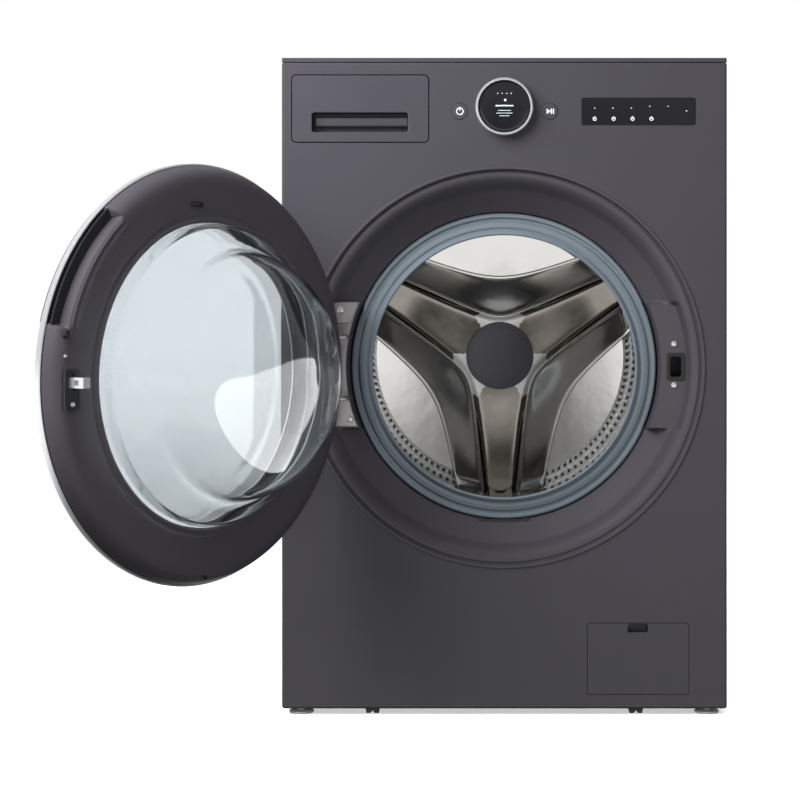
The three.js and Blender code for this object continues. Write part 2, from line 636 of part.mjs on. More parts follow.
add(wash, "tub_front", tubFront(), tubPlastic);
add(wash, "tub_rear", tubRear(), tubPlastic);
add(wash, "drum_front_ring", drumFrontRing(), stainless);
add(wash, "drum_shell", drumShell(), stainless);
add(wash, "drum_back", drumBack(), stainless);
add(wash, "drum_hub_cap", hubCap(), slate);
["lower", "upper_left", "upper_right"].forEach((place, i) => {
  add(wash, "lifter_" + place, lifter(), stainless).rotation.y = (i * 2 * Math.PI) / 3;
});
add(wash, "drum_spider", spider(), aluminium);
add(wash, "bearing_front", bearing(TUB_BACK + 2), zinc);
add(wash, "bearing_rear", bearing(TUB_BACK + 28), zinc);
add(wash, "motor_stator", ring(48, 124, TUB_BACK + 10, TUB_BACK + 36), copper);
add(wash, "motor_rotor", rotor(), zinc);
add(wash, "counterweight_upper", counterweight(true), concrete);
add(wash, "counterweight_lower", counterweight(false), concrete);
add(wash, "spring_left", hangingSpring(-1), zinc);
add(wash, "spring_right", hangingSpring(1), zinc);
add(wash, "damper_left", damper(-1), blackPlastic);
add(wash, "damper_right", damper(1), blackPlastic);

// ---- Door ----
const POCKET = block(-270, HINGE.x + HINGE.reach + 7, -35.2, 5, -HINGE.earZ - 8, HINGE.earZ + 8);
// Finger recess on the side away from the hinge, in degrees above the horizontal
const GRIP = { from: 15, to: 50, r0: 243, r1: 262 };

function gripTool() {
  const shape = new THREE.Shape();
  const [a, b] = [GRIP.from, GRIP.to].map(THREE.MathUtils.degToRad);
  shape.absarc(0, 0, GRIP.r1, a, b, false);
  shape.absarc(0, 0, GRIP.r0, b, a, true);
  shape.closePath();
  return slab(shape, -27, 5, 10);
}

function innerFrame() {
  const skin = turned([
    [GLASS_R, -10], [GLASS_R, -6.5], [236, -6.5], [246, -9.5], [253.5, -16], [257.5, -27.5], [254, -27.5],
    [250.5, -18], [244.5, -12.5], [235.5, -10],
  ]);
  return cut(skin, POCKET, gripTool());
}

// The carrier behind the outer glass, with a collar that holds the bowl's flange.
function coverFrame() {
  const carrier = turned([
    [WINDOW_R, -35.6], [257, -35.6], [257, -28.2], [249, -28.2], [249, -31.5], [193, -31.5], [193, -13.8],
    [188.5, -13.8], [188.5, -32], [WINDOW_R, -32],
  ]);
  return cut(carrier, POCKET);
}

function trimRing() {
  return turned([
    [250, -35.8], [250, -39.2], [252, DOOR_FACE], [257.5, DOOR_FACE + 0.6], [DOOR_R, DOOR_FACE + 4],
    [DOOR_R, -28.4], [257.4, -28.4], [257.4, -35.8],
  ]);
}

const outerGlass = () => turned([[0, DOOR_FACE], [248, DOOR_FACE], [249.6, -38.6], [249.6, -36], [0, -36]]);

function glassBowl() {
  return turned([
    [196, -10.4], [187, -10.4], [181, 11.2], [168, 25], [158, 34], [152, 45], [146, 66],
    [132, 90], [107, 112], [62, 137], [0, 151],
    [0, 146.6], [60, 132.8], [104, 108.6], [128, 87.6], [141.8, 64.6], [147.8, 43.4], [154.6, 30.8],
    [165, 21.8], [177.2, 9], [181, -13.4], [196, -13.4],
  ]);
}

function hingeArm() {
  const z = HINGE.earZ - GAP;
  const eye = post(HINGE.x, HINGE.y, -z, z, HINGE.eyeR);
  const strut = block(HINGE.x - 3, HINGE.x + 3, HINGE.y, -14, -z, z);
  const leaf = block(HINGE.x - 3, -196, -17.5, -13.9, -30, 30);
  return cut(join(eye, strut, leaf), post(HINGE.x, HINGE.y, -60, 60, HINGE.pinR + 0.3));
}

function latchPlate() {
  const body = plate(LATCH.x - 12, LATCH.x + 10, -32, 15, 2, -6.1, -3);
  return cut(body, block(LATCH.x - 5, LATCH.x + 5, -8, 0, LATCH.z - 10, LATCH.z + 10));
}

// The latch loop: a stem from the plate with a hooked nose.
function latchHook() {
  const stem = block(LATCH.x - 3, LATCH.x + 3, -6, 14, LATCH.z - 6, LATCH.z + 6);
  const nose = block(LATCH.x - 7, LATCH.x + 3, 14, 19, LATCH.z - 6, LATCH.z + 6);
  return cut(join(stem, nose), block(LATCH.x - 4, LATCH.x + 4, 4, 11, LATCH.z - 3, LATCH.z + 3));
}

add(door, "door_inner_frame", innerFrame(), bezelPlastic);
add(door, "door_cover_frame", coverFrame(), blackPlastic);
add(door, "door_trim_ring", trimRing(), silver);
add(door, "door_outer_glass", outerGlass(), clearGlass);
add(door, "door_glass_bowl", glassBowl(), clearGlass);
add(door, "hinge_arm", hingeArm(), zinc);
add(door, "door_latch_plate", latchPlate(), blackPlastic);
add(door, "door_hook", latchHook(), silver);

export default machine;
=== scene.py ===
"""Front load washing machine with its door open: the looks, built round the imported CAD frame.

Lengths are in millimetres until place() turns them into the frame's metres. A depth is measured behind
the front face of the cabinet, and round pieces of the drum and door are measured from the drum's axis.
"""
import json
import math

import bmesh
import bpy
import numpy as np
from mathutils import Matrix, Vector

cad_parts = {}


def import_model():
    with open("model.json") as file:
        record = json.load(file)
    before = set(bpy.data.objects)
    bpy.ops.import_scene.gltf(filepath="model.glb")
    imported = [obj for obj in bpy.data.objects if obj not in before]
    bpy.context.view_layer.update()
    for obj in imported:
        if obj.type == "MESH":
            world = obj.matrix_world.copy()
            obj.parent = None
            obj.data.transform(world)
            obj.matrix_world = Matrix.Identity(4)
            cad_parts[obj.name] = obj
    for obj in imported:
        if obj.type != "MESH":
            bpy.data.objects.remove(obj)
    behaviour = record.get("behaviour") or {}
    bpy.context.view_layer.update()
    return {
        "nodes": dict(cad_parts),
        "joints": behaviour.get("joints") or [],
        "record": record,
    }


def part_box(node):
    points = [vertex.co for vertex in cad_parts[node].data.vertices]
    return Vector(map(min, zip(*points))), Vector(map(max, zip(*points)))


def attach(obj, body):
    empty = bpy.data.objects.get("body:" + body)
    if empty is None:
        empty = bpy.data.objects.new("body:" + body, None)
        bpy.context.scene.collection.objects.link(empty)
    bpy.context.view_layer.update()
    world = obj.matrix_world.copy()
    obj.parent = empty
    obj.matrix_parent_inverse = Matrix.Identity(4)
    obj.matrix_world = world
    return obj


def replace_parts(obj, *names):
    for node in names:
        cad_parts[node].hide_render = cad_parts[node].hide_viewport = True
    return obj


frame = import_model()

MM = 0.001
joints = {joint["name"]: joint for joint in frame["joints"]}


def span(node):
    """Lowest and highest corner of a CAD node, in millimetres."""
    low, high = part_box(node)
    return low / MM, high / MM


CABINET_LOW, CABINET_HIGH = span("front_panel")
FRONT = CABINET_LOW.y
AXIS_Z = sum(corner.z for corner in span("drum_shell")) / 2
SHEET = 1.0  # steel of the cabinet


def place(x, depth, z):
    """A point given by its depth behind the front face and its height above the floor, in metres."""
    return (x * MM, (FRONT + depth) * MM, z * MM)


def place_round(radius, depth, turn):
    """A point given by its radius and angle about the drum's axis."""
    return place(radius * math.cos(turn), depth, AXIS_Z + radius * math.sin(turn))


def turns(steps):
    """Angles of one full turn, in equal steps."""
    return [2 * math.pi * i / steps for i in range(steps)]


# ---- Materials ----
def node_material(name):
    """A new material with its nodes, links and main shader."""
    material = bpy.data.materials.new(name)
    material.use_nodes = True
    nodes = material.node_tree.nodes
    return material, nodes, material.node_tree.links, nodes["Principled BSDF"]


def noise(nodes, links, scale, detail):
    """Noise in the object's own coordinates."""
    coordinates = nodes.new("ShaderNodeTexCoord")
    texture = nodes.new("ShaderNodeTexNoise")
    texture.inputs["Scale"].default_value = scale
    texture.inputs["Detail"].default_value = detail
    links.new(coordinates.outputs["Object"], texture.inputs["Vector"])
    return texture.outputs["Fac"]


def finish(name, colour, rough, metal=0.0, tint=0.05, mottle=14, wear=0.06, grain=1400, relief=0.04,
           **sockets):
    """A solid finish: mottled colour and gloss, and a fine grain in relief (in millimetres)."""
    material, nodes, links, shader = node_material(name)
    shader.inputs["Metallic"].default_value = metal
    for socket, value in sockets.items():
        shader.inputs[socket.replace("_", " ")].default_value = value
    cloud = noise(nodes, links, mottle, 4.0)
    mix = nodes.new("ShaderNodeMix")
    mix.data_type = "RGBA"
    mix.inputs["A"].default_value = (*(c * (1 - tint) for c in colour), 1)
    mix.inputs["B"].default_value = (*(c * (1 + tint) for c in colour), 1)
    links.new(cloud, mix.inputs["Factor"])
    links.new(mix.outputs["Result"], shader.inputs["Base Color"])
    gloss = nodes.new("ShaderNodeMapRange")
    gloss.inputs["To Min"].default_value = max(rough - wear, 0.0)
    gloss.inputs["To Max"].default_value = rough + wear
    links.new(noise(nodes, links, mottle * 3.1, 5.0), gloss.inputs["Value"])
    links.new(gloss.outputs["Result"], shader.inputs["Roughness"])
    bump = nodes.new("ShaderNodeBump")
    bump.inputs["Distance"].default_value = relief * MM
    bump.inputs["Strength"].default_value = 0.6
    links.new(noise(nodes, links, grain, 2.0), bump.inputs["Height"])
    links.new(bump.outputs["Normal"], shader.inputs["Normal"])
    return material


def glass(name, colour):
    """Clear glass with a very slight waviness."""
    material, nodes, links, shader = node_material(name)
    shader.inputs["Base Color"].default_value = (*colour, 1)
    shader.inputs["Transmission Weight"].default_value = 1.0
    shader.inputs["IOR"].default_value = 1.5
    shader.inputs["Roughness"].default_value = 0.0
    bump = nodes.new("ShaderNodeBump")
    bump.inputs["Distance"].default_value = 0.002 * MM
    links.new(noise(nodes, links, 30, 2.0), bump.inputs["Height"])
    links.new(bump.outputs["Normal"], shader.inputs["Normal"])
    return material


def lit(name, colour, strength):
    """Marks of a display that glow a little through black glass."""
    material, nodes, links, shader = node_material(name)
    shader.inputs["Base Color"].default_value = (*colour, 1)
    shader.inputs["Roughness"].default_value = 0.4
    shader.inputs["Emission Color"].default_value = (*colour, 1)
    glow = nodes.new("ShaderNodeMapRange")
    glow.inputs["To Min"].default_value = strength * 0.8
    glow.inputs["To Max"].default_value = strength * 1.2
    links.new(noise(nodes, links, 300, 2.0), glow.inputs["Value"])
    links.new(glow.outputs["Result"], shader.inputs["Emission Strength"])
    return material


PAINT = finish("cabinet_paint", (0.056, 0.053, 0.063), 0.46, metal=0.35, tint=0.03, grain=2600,
               relief=0.012)
PANEL_PLASTIC = finish("painted_plastic", (0.055, 0.052, 0.062), 0.46, metal=0.33, grain=2600,
                       relief=0.012)
BEZEL = finish("bezel_plastic", (0.032, 0.029, 0.035), 0.46, grain=3000, relief=0.01)
BLACK = finish("black_plastic", (0.012, 0.012, 0.013), 0.48, grain=1600, relief=0.03)
WHITE = finish("white_plastic", (0.72, 0.72, 0.73), 0.4, grain=900, relief=0.02)
BLUE = finish("blue_plastic", (0.03, 0.14, 0.42), 0.25, grain=900, relief=0.01)
GLOSS = finish("black_gloss", (0.008, 0.008, 0.01), 0.05, wear=0.03, grain=200, relief=0.004)
SILVER = finish("silver_trim", (0.74, 0.75, 0.77), 0.3, metal=0.85, grain=2400, relief=0.01)
ZINC = finish("zinc_steel", (0.38, 0.36, 0.36), 0.34, metal=0.9, tint=0.14, mottle=60, grain=700,
              relief=0.02)
FOOT_ZINC = finish("foot_zinc", (0.5, 0.49, 0.48), 0.4, metal=0.3, tint=0.1, mottle=60, grain=700,
                   relief=0.02)
STEEL = finish("drum_steel", (0.66, 0.65, 0.63), 0.1, metal=1.0, mottle=9, wear=0.04, grain=24, relief=0.35)
# A darker, browner copy of the drum steel for the star's channels: painted shade and reflection.
CHANNEL_STEEL_PAINTED_SHADE = finish("drum_channel_painted_shade", (0.26, 0.24, 0.21), 0.14, metal=1.0, tint=0.2, mottle=25,
                       grain=24, relief=0.3)
# A lighter, less metallic copy of the drum steel for the flank and the star's corners at the hub: painted
# highlight.
FLANK_STEEL_PAINTED_HIGHLIGHT = finish("drum_flank_painted_highlight", (0.88, 0.88, 0.87), 0.34, metal=0.5, tint=0.03, mottle=30,
                     grain=300, relief=0.05)
RUBBER = finish("gasket_rubber", (0.09, 0.108, 0.125), 0.62, tint=0.06, grain=1800, relief=0.03)
SLATE = finish("slate_plastic", (0.17, 0.17, 0.19), 0.6, grain=1200, Specular_IOR_Level=0.25)
CAST = finish("cast_aluminium", (0.5, 0.5, 0.52), 0.5, metal=0.8, tint=0.1, grain=350, relief=0.2)
WINDING = finish("motor_winding", (0.4, 0.14, 0.05), 0.35, metal=0.6, grain=600, relief=0.3)
CONCRETE = finish("weight_concrete", (0.3, 0.3, 0.29), 0.85, tint=0.15, grain=300, relief=0.4)
TUB = finish("tub_plastic", (0.3, 0.31, 0.32), 0.55, grain=700, relief=0.05)
BOARD = finish("circuit_board", (0.015, 0.12, 0.06), 0.45, tint=0.3, mottle=120, grain=400, relief=0.2)
CLEAR = glass("clear_glass", (0.74, 0.775, 0.79))
MARK = lit("display_mark", (0.62, 0.68, 0.72), 0.16)

MATERIALS = {
    "cabinet_paint": PAINT, "painted_plastic": PANEL_PLASTIC, "bezel_plastic": BEZEL,
    "black_plastic": BLACK, "white_plastic": WHITE, "blue_plastic": BLUE, "black_gloss": GLOSS,
    "silver_trim": SILVER, "zinc_steel": ZINC, "drum_steel": STEEL, "gasket_rubber": RUBBER,
    "slate_plastic": SLATE, "cast_aluminium": CAST, "motor_winding": WINDING,
    "weight_concrete": CONCRETE, "tub_plastic": TUB, "circuit_board": BOARD, "clear_glass": CLEAR,
}


# ---- Mesh building ----
def show(name, bm, slot, body, sharp=38, door=False, material=None):
    """Link a finished mesh and let it ride on its body. Edges sharper than the angle stay crisp."""
    bmesh.ops.remove_doubles(bm, verts=bm.verts, dist=1e-6)
    bmesh.ops.recalc_face_normals(bm, faces=bm.faces)
    mesh = bpy.data.meshes.new(name)
    bm.to_mesh(mesh)
    bm.free()
    if door:
        mesh.transform(SWING)
    mesh.shade_smooth()
    mesh.set_sharp_from_angle(angle=math.radians(sharp))
    mesh.materials.append(material or MATERIALS[slot])
    piece = bpy.data.objects.new(name, mesh)
    bpy.context.scene.collection.objects.link(piece)
    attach(piece, body)
    return piece


def add_grid(bm, rows, wrap=True):
    """Quads between rows of points. Each row closes on itself if wrap is true."""
    lines = [[bm.verts.new(point) for point in row] for row in rows]
    count = len(rows[0])
    for low, high in zip(lines, lines[1:]):
        for i in range(0 if wrap else 1, count):
            bm.faces.new((low[i - 1], low[i], high[i], high[i - 1]))
    return lines


def softened(corners, steps=4):
    """A closed outline whose corners (x, y, radius) are rounded."""
    points = []
    count = len(corners)
    for i, (x, y, radius) in enumerate(corners):
        here = Vector((x, y))
        if not radius:
            points.append(tuple(here))
            continue
        back = Vector(corners[i - 1][:2]) - here
        ahead = Vector(corners[(i + 1) % count][:2]) - here
        half = back.angle(ahead) / 2
        reach = min(radius / math.tan(half), 0.49 * back.length, 0.49 * ahead.length)
        start = here + back.normalized() * reach
        end = here + ahead.normalized() * reach
        for k in range(steps + 1):
            t = k / steps
            points.append(tuple(start * (1 - t) ** 2 + here * 2 * t * (1 - t) + end * t ** 2))
    return points


def add_turned(bm, profile, centre=None, steps=192):
    """A closed (radius, depth) profile turned about a line along y."""
    x, z = centre or (0.0, AXIS_Z)
    closed = [*profile, profile[0]]
    rows = []
    for radius, depth in closed:
        rows.append([place(x + radius * math.cos(t), depth, z + radius * math.sin(t)) for t in turns(steps)])
    add_grid(bm, rows)


def turned(name, profile, slot, body, centre=None, steps=192, **options):
    """A turned piece, shown and riding on its body."""
    bm = bmesh.new()
    add_turned(bm, profile, centre, steps)
    return show(name, bm, slot, body, **options)


def circle(x, z, radius, steps=96):
    """An outline as a function of how far it is grown outwards."""
    def outline(grow):
        reach = radius + grow
        return [(x + reach * math.cos(t), z + reach * math.sin(t)) for t in turns(steps)]
    return outline


def rectangle(x0, x1, z0, z1, corner, steps=6):
    """A rounded rectangle as a function of how far it is grown outwards."""
    def outline(grow):
        radius = max(corner + grow, 0.3)
        centres = [(x1 + grow - radius, z1 + grow - radius), (x0 - grow + radius, z1 + grow - radius),
                   (x0 - grow + radius, z0 - grow + radius), (x1 + grow - radius, z0 - grow + radius)]
        points = []
        for quarter, (cx, cz) in enumerate(centres):
            for k in range(steps + 1):
                t = math.pi / 2 * (quarter + k / steps)
                points.append((cx + radius * math.cos(t), cz + radius * math.sin(t)))
        return points
    return outline


def rolled(outline, side, radius, depth, face=0.0, lead=0.8, steps=5):
    """Loops from a flat face round an edge and back to a depth. side is 1 outside and -1 at a hole."""
    path = [(-side * (radius + lead), face)]
    for k in range(steps + 1):
        turn = math.pi / 2 * k / steps
        path.append((-side * radius * (1 - math.sin(turn)), face + radius * (1 - math.cos(turn))))
    path.append((0.0, depth))
    return [[place(x, y, z) for x, z in outline(grow)] for grow, y in path]


def add_faced(bm, rims, capped=()):
    """A flat face between rims, each a list of loops that starts in the face. Rims in capped are closed."""
    edges = []
    for number, rim in enumerate(rims):
        lines = add_grid(bm, rim)
        first = lines[0]
        edges += [bm.edges.get((first[i - 1], first[i])) for i in range(len(first))]
        if number in capped:
            bm.faces.new(lines[-1])
    bmesh.ops.triangle_fill(bm, use_beauty=True, use_dissolve=False, edges=edges)


def add_plate(bm, outline, front, back, radius=0.5):
    """A plate with a rounded front edge."""
    add_faced(bm, [rolled(outline, 1, radius, back, face=front, lead=0.3, steps=4)], capped=[0])


def add_slab(bm, outline, low, high, point):
    """A prism on a list of (a, b) corners, from one height to the other. point(a, b, height) places it."""
    lines = add_grid(bm, [[point(a, b, height) for a, b in outline] for height in (low, high)])
    for line in lines:
        bm.faces.new(line)


def thicken(piece, amount):
    """Give a skin its thickness, behind its face."""
    shell = piece.modifiers.new("thickness", "SOLIDIFY")
    shell.thickness = amount * MM
    shell.offset = -1
    return piece


def ease_edges(piece, width, segments=2):
    """Round the edges that are sharper than 40 degrees."""
    bevel = piece.modifiers.new("eased_edges", "BEVEL")
    bevel.width = width * MM
    bevel.segments = segments
    bevel.limit_method = "ANGLE"
    bevel.angle_limit = math.radians(40)
    bevel.harden_normals = False


def smooth_curve(points, steps=6):
    """A Catmull-Rom curve through the points."""
    ends = [points[0], *points, points[-1]]
    curve = []
    for a, b, c, d in zip(ends, ends[1:], ends[2:], ends[3:]):
        a, b, c, d = (Vector(p) for p in (a, b, c, d))
        for k in range(steps):
            t = k / steps
            curve.append(tuple(0.5 * (2 * b + (c - a) * t + (2 * a - 5 * b + 4 * c - d) * t ** 2
                                      + (3 * b - a - 3 * c + d) * t ** 3)))
    return [*curve, tuple(points[-1])]


def smoothstep(value, low, high):
    """0 below low, 1 above high, and a smooth rise between them."""
    t = min(max((value - low) / (high - low), 0.0), 1.0)
    return t * t * (3 - 2 * t)


# ---- Cabinet ----
DRAWER_LOW, DRAWER_HIGH = span("drawer_front")
DISPLAY_LOW, DISPLAY_HIGH = span("display_panel")
FLAP_LOW, FLAP_HIGH = span("filter_door")
RING_LOW, RING_HIGH = span("dial_ring")
FACE_LOW, FACE_HIGH = span("dial_display")
DIAL = ((RING_LOW.x + RING_HIGH.x) / 2, (RING_LOW.z + RING_HIGH.z) / 2)
DIAL_R = (RING_HIGH.x - RING_LOW.x) / 2
DIAL_FACE_R = (FACE_HIGH.x - FACE_LOW.x) / 2
RECESS_R = 268  # opening of the front panel, under the bezel's rim
PANEL_EDGE = 3.0  # how far the panel's edges turn back round its openings


def button_place(node):
    """Middle and radius of a round button."""
    low, high = span(node)
    return (low.x + high.x) / 2, (low.z + high.z) / 2, (high.x - low.x) / 2


def grown_box(low, high, gap, corner):
    """Rounded outline of a node's box with a gap all round."""
    return rectangle(low.x - gap, high.x + gap, low.z - gap, high.z + gap, corner)


def front_panel():
    """The painted front with its openings for the drum, dial, buttons, drawer, flap and display."""
    body = rectangle(CABINET_LOW.x, CABINET_HIGH.x, CABINET_LOW.z, CABINET_HIGH.z, 3.5, steps=8)
    rims = [rolled(body, 1, 3.0, CABINET_HIGH.y - CABINET_LOW.y, steps=8)]
    rims.append(rolled(circle(0, AXIS_Z, RECESS_R, 256), -1, 1.0, PANEL_EDGE))
    rims.append(rolled(circle(*DIAL, DIAL_FACE_R + 0.5), -1, 0.5, PANEL_EDGE, lead=0.4))
    for node in ("power_button", "start_button"):
        x, z, radius = button_place(node)
        rims.append(rolled(circle(x, z, radius + 0.25), -1, 0.2, PANEL_EDGE, lead=0.3))
    rims.append(rolled(grown_box(DRAWER_LOW, DRAWER_HIGH, 1.0, 7), -1, 0.5, PANEL_EDGE))
    rims.append(rolled(grown_box(FLAP_LOW, FLAP_HIGH, 0.5, 3.5), -1, 0.5, PANEL_EDGE))
    rims.append(rolled(grown_box(DISPLAY_LOW, DISPLAY_HIGH, 0.4, 2.4), -1, 0.4, PANEL_EDGE, lead=0.4))
    bm = bmesh.new()
    add_faced(bm, rims)
    piece = thicken(show("cabinet_front", bm, "cabinet_paint", "cabinet"), SHEET)
    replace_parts(piece, "front_panel")


# ---- Door bezel, with flat lands for the hinge on the left and the lock on the right ----
LAND = {"rim": 252.5, "bottom": -86, "top": 90, "depth": 22, "inner": 213.5}
LAND_LIMIT = 258  # the bezel's rim outside this radius has no lands
BEZEL_PROFILE = [
    (271.0, 0.4), (271.0, -1.0), (270.0, -1.9), (267.6, -1.9), (266.4, -0.6), (265.4, 2.4), (264.2, 3.6),
    (262.8, 2.6), (260.5, 2.2), (256.5, 3.4), (252, 6.2), (248, 10.2), (244, 15.6), (240.5, 21), (235, 26),
    (228, 31.8), (220, 38.6), (213.6, 44), (211, 46.5), (210.6, 51),
]
LOCK_SLOT = {"x": 234, "z": 0, "width": 22, "height": 34}


def land_share(x, z):
    """1 on the flat lands beside the opening, 0 away from them."""
    radius = math.hypot(x, z)
    across = smoothstep(LAND["rim"] - radius, 0, 7)
    down = smoothstep(z - LAND["bottom"], 0, 2.2)
    up = smoothstep(LAND["top"] - z, 0, 7)
    inner = smoothstep(radius - LAND["inner"] + 2.4, 0, 2.2)
    return across * down * up * inner


def bezel():
    """The deep moulded ring round the opening, with a slot for the door's hook."""
    rows = []
    for radius, depth in smooth_curve(BEZEL_PROFILE, 3):
        row = []
        for turn in turns(1080):
            x, z = radius * math.cos(turn), radius * math.sin(turn)
            share = land_share(x, z) if radius < LAND_LIMIT else 0.0
            row.append(place(x, depth + (LAND["depth"] - depth) * share, AXIS_Z + z))
        rows.append(row)
    bm = bmesh.new()
    add_grid(bm, rows)
    in_slot = []
    for face in bm.faces:
        centre = face.calc_center_median() / MM
        across, up = abs(centre.x - LOCK_SLOT["x"]), abs(centre.z - AXIS_Z - LOCK_SLOT["z"])
        if across < LOCK_SLOT["width"] / 2 and up < LOCK_SLOT["height"] / 2:
            in_slot.append(face)
    bmesh.ops.delete(bm, geom=in_slot, context="FACES")
    piece = thicken(show("bezel_ring", bm, "bezel_plastic", "cabinet"), 2.0)
    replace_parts(piece, "door_bezel")


def lock_escutcheon():
    """The moulded frame round the slot that the door's hook enters."""
    x, z = LOCK_SLOT["x"], AXIS_Z + LOCK_SLOT["z"]
    outer = rectangle(x - 12.5, x + 12.5, z - 19, z + 19, 4)
    slot = rectangle(x - 8, x + 6.5, z - 13.5, z + 13.5, 3)
    front = LAND["depth"] - 1.0
    rims = [rolled(outer, 1, 0.8, front + 2.4, face=front), rolled(slot, -1, 1.2, front + 6, face=front)]
    bm = bmesh.new()
    add_faced(bm, rims)
    thicken(show("lock_escutcheon", bm, "black_plastic", "cabinet"), 1.2)


# ---- Gasket ----
def gasket():
    """The rubber bellows from the opening back to the tub."""
    outline = softened([
        (209.4, 47.0, 1.2), (207.4, 43.4, 1.4), (203.8, 43.0, 1.2), (202.0, 46.0, 1.2), (199.5, 46.2, 1.2),
        (197.0, 42.0, 2.0), (190.5, 39.5, 2.5), (187.0, 42.0, 1.2), (184.6, 38.0, 1.5), (181.4, 34.4, 2.2),
        (178.6, 36.4, 1.6), (180.8, 41.0, 2.0), (188.0, 46.5, 2.0), (190.0, 52.5, 2.5), (186.0, 62.0, 3.0),
        (190.0, 70.5, 2.0), (204.5, 76.0, 2.0), (204.5, 94.0, 0), (208.0, 94.0, 0), (208.0, 73.0, 2.0),
        (192.0, 62.0, 2.0), (195.6, 53.0, 2.0), (194.0, 47.6, 1.0), (209.4, 50.4, 1.0),
    ])
    piece = turned("gasket", outline, "gasket_rubber", "cabinet", steps=256)
    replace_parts(piece, "door_gasket")


def gasket_clip():
    """The spring clip of the gasket's clamp, seen under the opening."""
    bm = bmesh.new()
    z = AXIS_Z - 211.5
    add_plate(bm, rectangle(-27, 27, z - 2.2, z + 2.2, 1.4), 43.5, 46.5, 0.7)
    for x in (-30, 30):
        add_plate(bm, rectangle(x - 4.5, x + 4.5, z - 1.2, z + 4.2, 1.6), 42.5, 46.8, 0.9)
    show("gasket_clip", bm, "black_plastic", "cabinet")


# ---- Drum ----
DRUM_LOW, DRUM_HIGH = span("drum_shell")
DRUM_R = (DRUM_HIGH.x - DRUM_LOW.x) / 2
LIFTERS = {"lifter_lower": 270, "lifter_upper_left": 150, "lifter_upper_right": 30}  # degrees from 3 o'clock
BISECTORS = (90, 210, 330)  # between the arms
RIDGE = (50.0, 0.115)  # an arm's ridge: half width at the hub, and how much of the radius it loses
EDGE = (112.0, 0.2)  # an arm's edge, in the same way
RIDGE_RELIEF = 14.0  # how far the ridges stand proud of the back
CHANNEL_RISE = {"share": 0.75, "from": 30, "to": 175}  # how the channels rise to the ridges at the hub
PAINTED_HIGHLIGHT_CORNER = {"radius": 74, "degrees": 33}  # corners of the channels between the arms at the hub, shown in the lighter steel as a painted highlight
ARM_END = 246.0
SHEET_STEEL = 0.8  # of the drum's pressings
DISC_R = 196.0  # flat part of the back; the flank curves forward from here to the wall
BACK = 469.0  # depth of the back's disc at its middle; it is dished towards its rim
DISH = 0.00028
NECK = 404.0  # depth where the flank meets the wall
LIP_END = 134.0  # depth where the rolled front edge meets the wall


def flank_depth(radius):
    """Depth of the pressed back: a slightly dished disc, then a rounded flank up to the wall."""
    dished = BACK - DISH * min(radius, DISC_R) ** 2
    if radius < DISC_R:
        return dished
    share = min((radius - DISC_R) / (DRUM_R - 1.5 - DISC_R), 1.0)
    return dished - (dished - NECK) * (1 - math.sqrt(max(1 - share ** 1.6, 0.0)))


ANGLES = np.linspace(0, math.pi / 3, 1500)
LEFT_SINE = np.maximum(np.sin(math.pi / 3 - ANGLES), 1e-6)
CLOSENESS = (LEFT_SINE ** -3 + np.sin(math.pi / 3 + ANGLES) ** -3) ** (-1 / 3)


def level_angle(start, taper, radius):
    """Angle from the bisector where a curve at this distance from both arms meets the radius."""
    return float(np.interp(start / radius - taper, CLOSENESS[::-1], ANGLES[::-1]))


def level_point(start, taper, share):
    """Polar point of a curve that follows one arm in and the next arm out, with share from -1 to 1."""
    near = start / (CLOSENESS[0] + taper)
    radius = near + (ARM_END - near) * share ** 2
    angle = level_angle(start, taper, max(radius, 1e-3)) if start else math.pi / 3
    return radius, math.copysign(angle, share)


STAR_STATIONS = [
    (0.0, 3.0), (0.4, 3.0), (0.72, 3.4), (0.84, 5.6), (0.93, 10.4), (0.975, 13.2), (1.0, 14.0), (1.03, 13.3),
    (1.1, 12.0), (1.4, 8.9), (1.7, 5.9), (1.9, 4.0), (1.95, 3.9), (1.975, 4.2), (1.99, 3.6), (2.0, 1.6),
    (2.01, -1.0), (2.01, -3.0),
]


def star_levels():
    """(start, taper, relief) from an arm's centreline to its edge; relief stands proud of the back."""
    levels = []
    for position, relief in smooth_curve(STAR_STATIONS, 3):
        if position <= 1:
            start, taper = RIDGE[0] * position, RIDGE[1] * position
        else:
            share = position - 1
            start = RIDGE[0] + (EDGE[0] - RIDGE[0]) * share
            taper = RIDGE[1] + (EDGE[1] - RIDGE[1]) * share
        levels.append((max(start, 0.0), max(taper, 0.0), relief, position < 0.99))
    return levels


def star_row(bisector, level, count=90):
    """Points of one level of the star. Its channels start almost level with the ridges at the hub."""
    start, taper, relief, in_channel = level
    row = []
    for i in range(-count, count + 1):
        radius, angle = level_point(start, taper, i / count)
        turn = math.radians(bisector) + angle
        depth = flank_depth(radius) - relief
        if in_channel:
            fade = 1 - smoothstep(radius, CHANNEL_RISE["from"], CHANNEL_RISE["to"])
            depth -= CHANNEL_RISE["share"] * (RIDGE_RELIEF - relief) * fade
        row.append(place_round(radius, depth, turn))
    return row


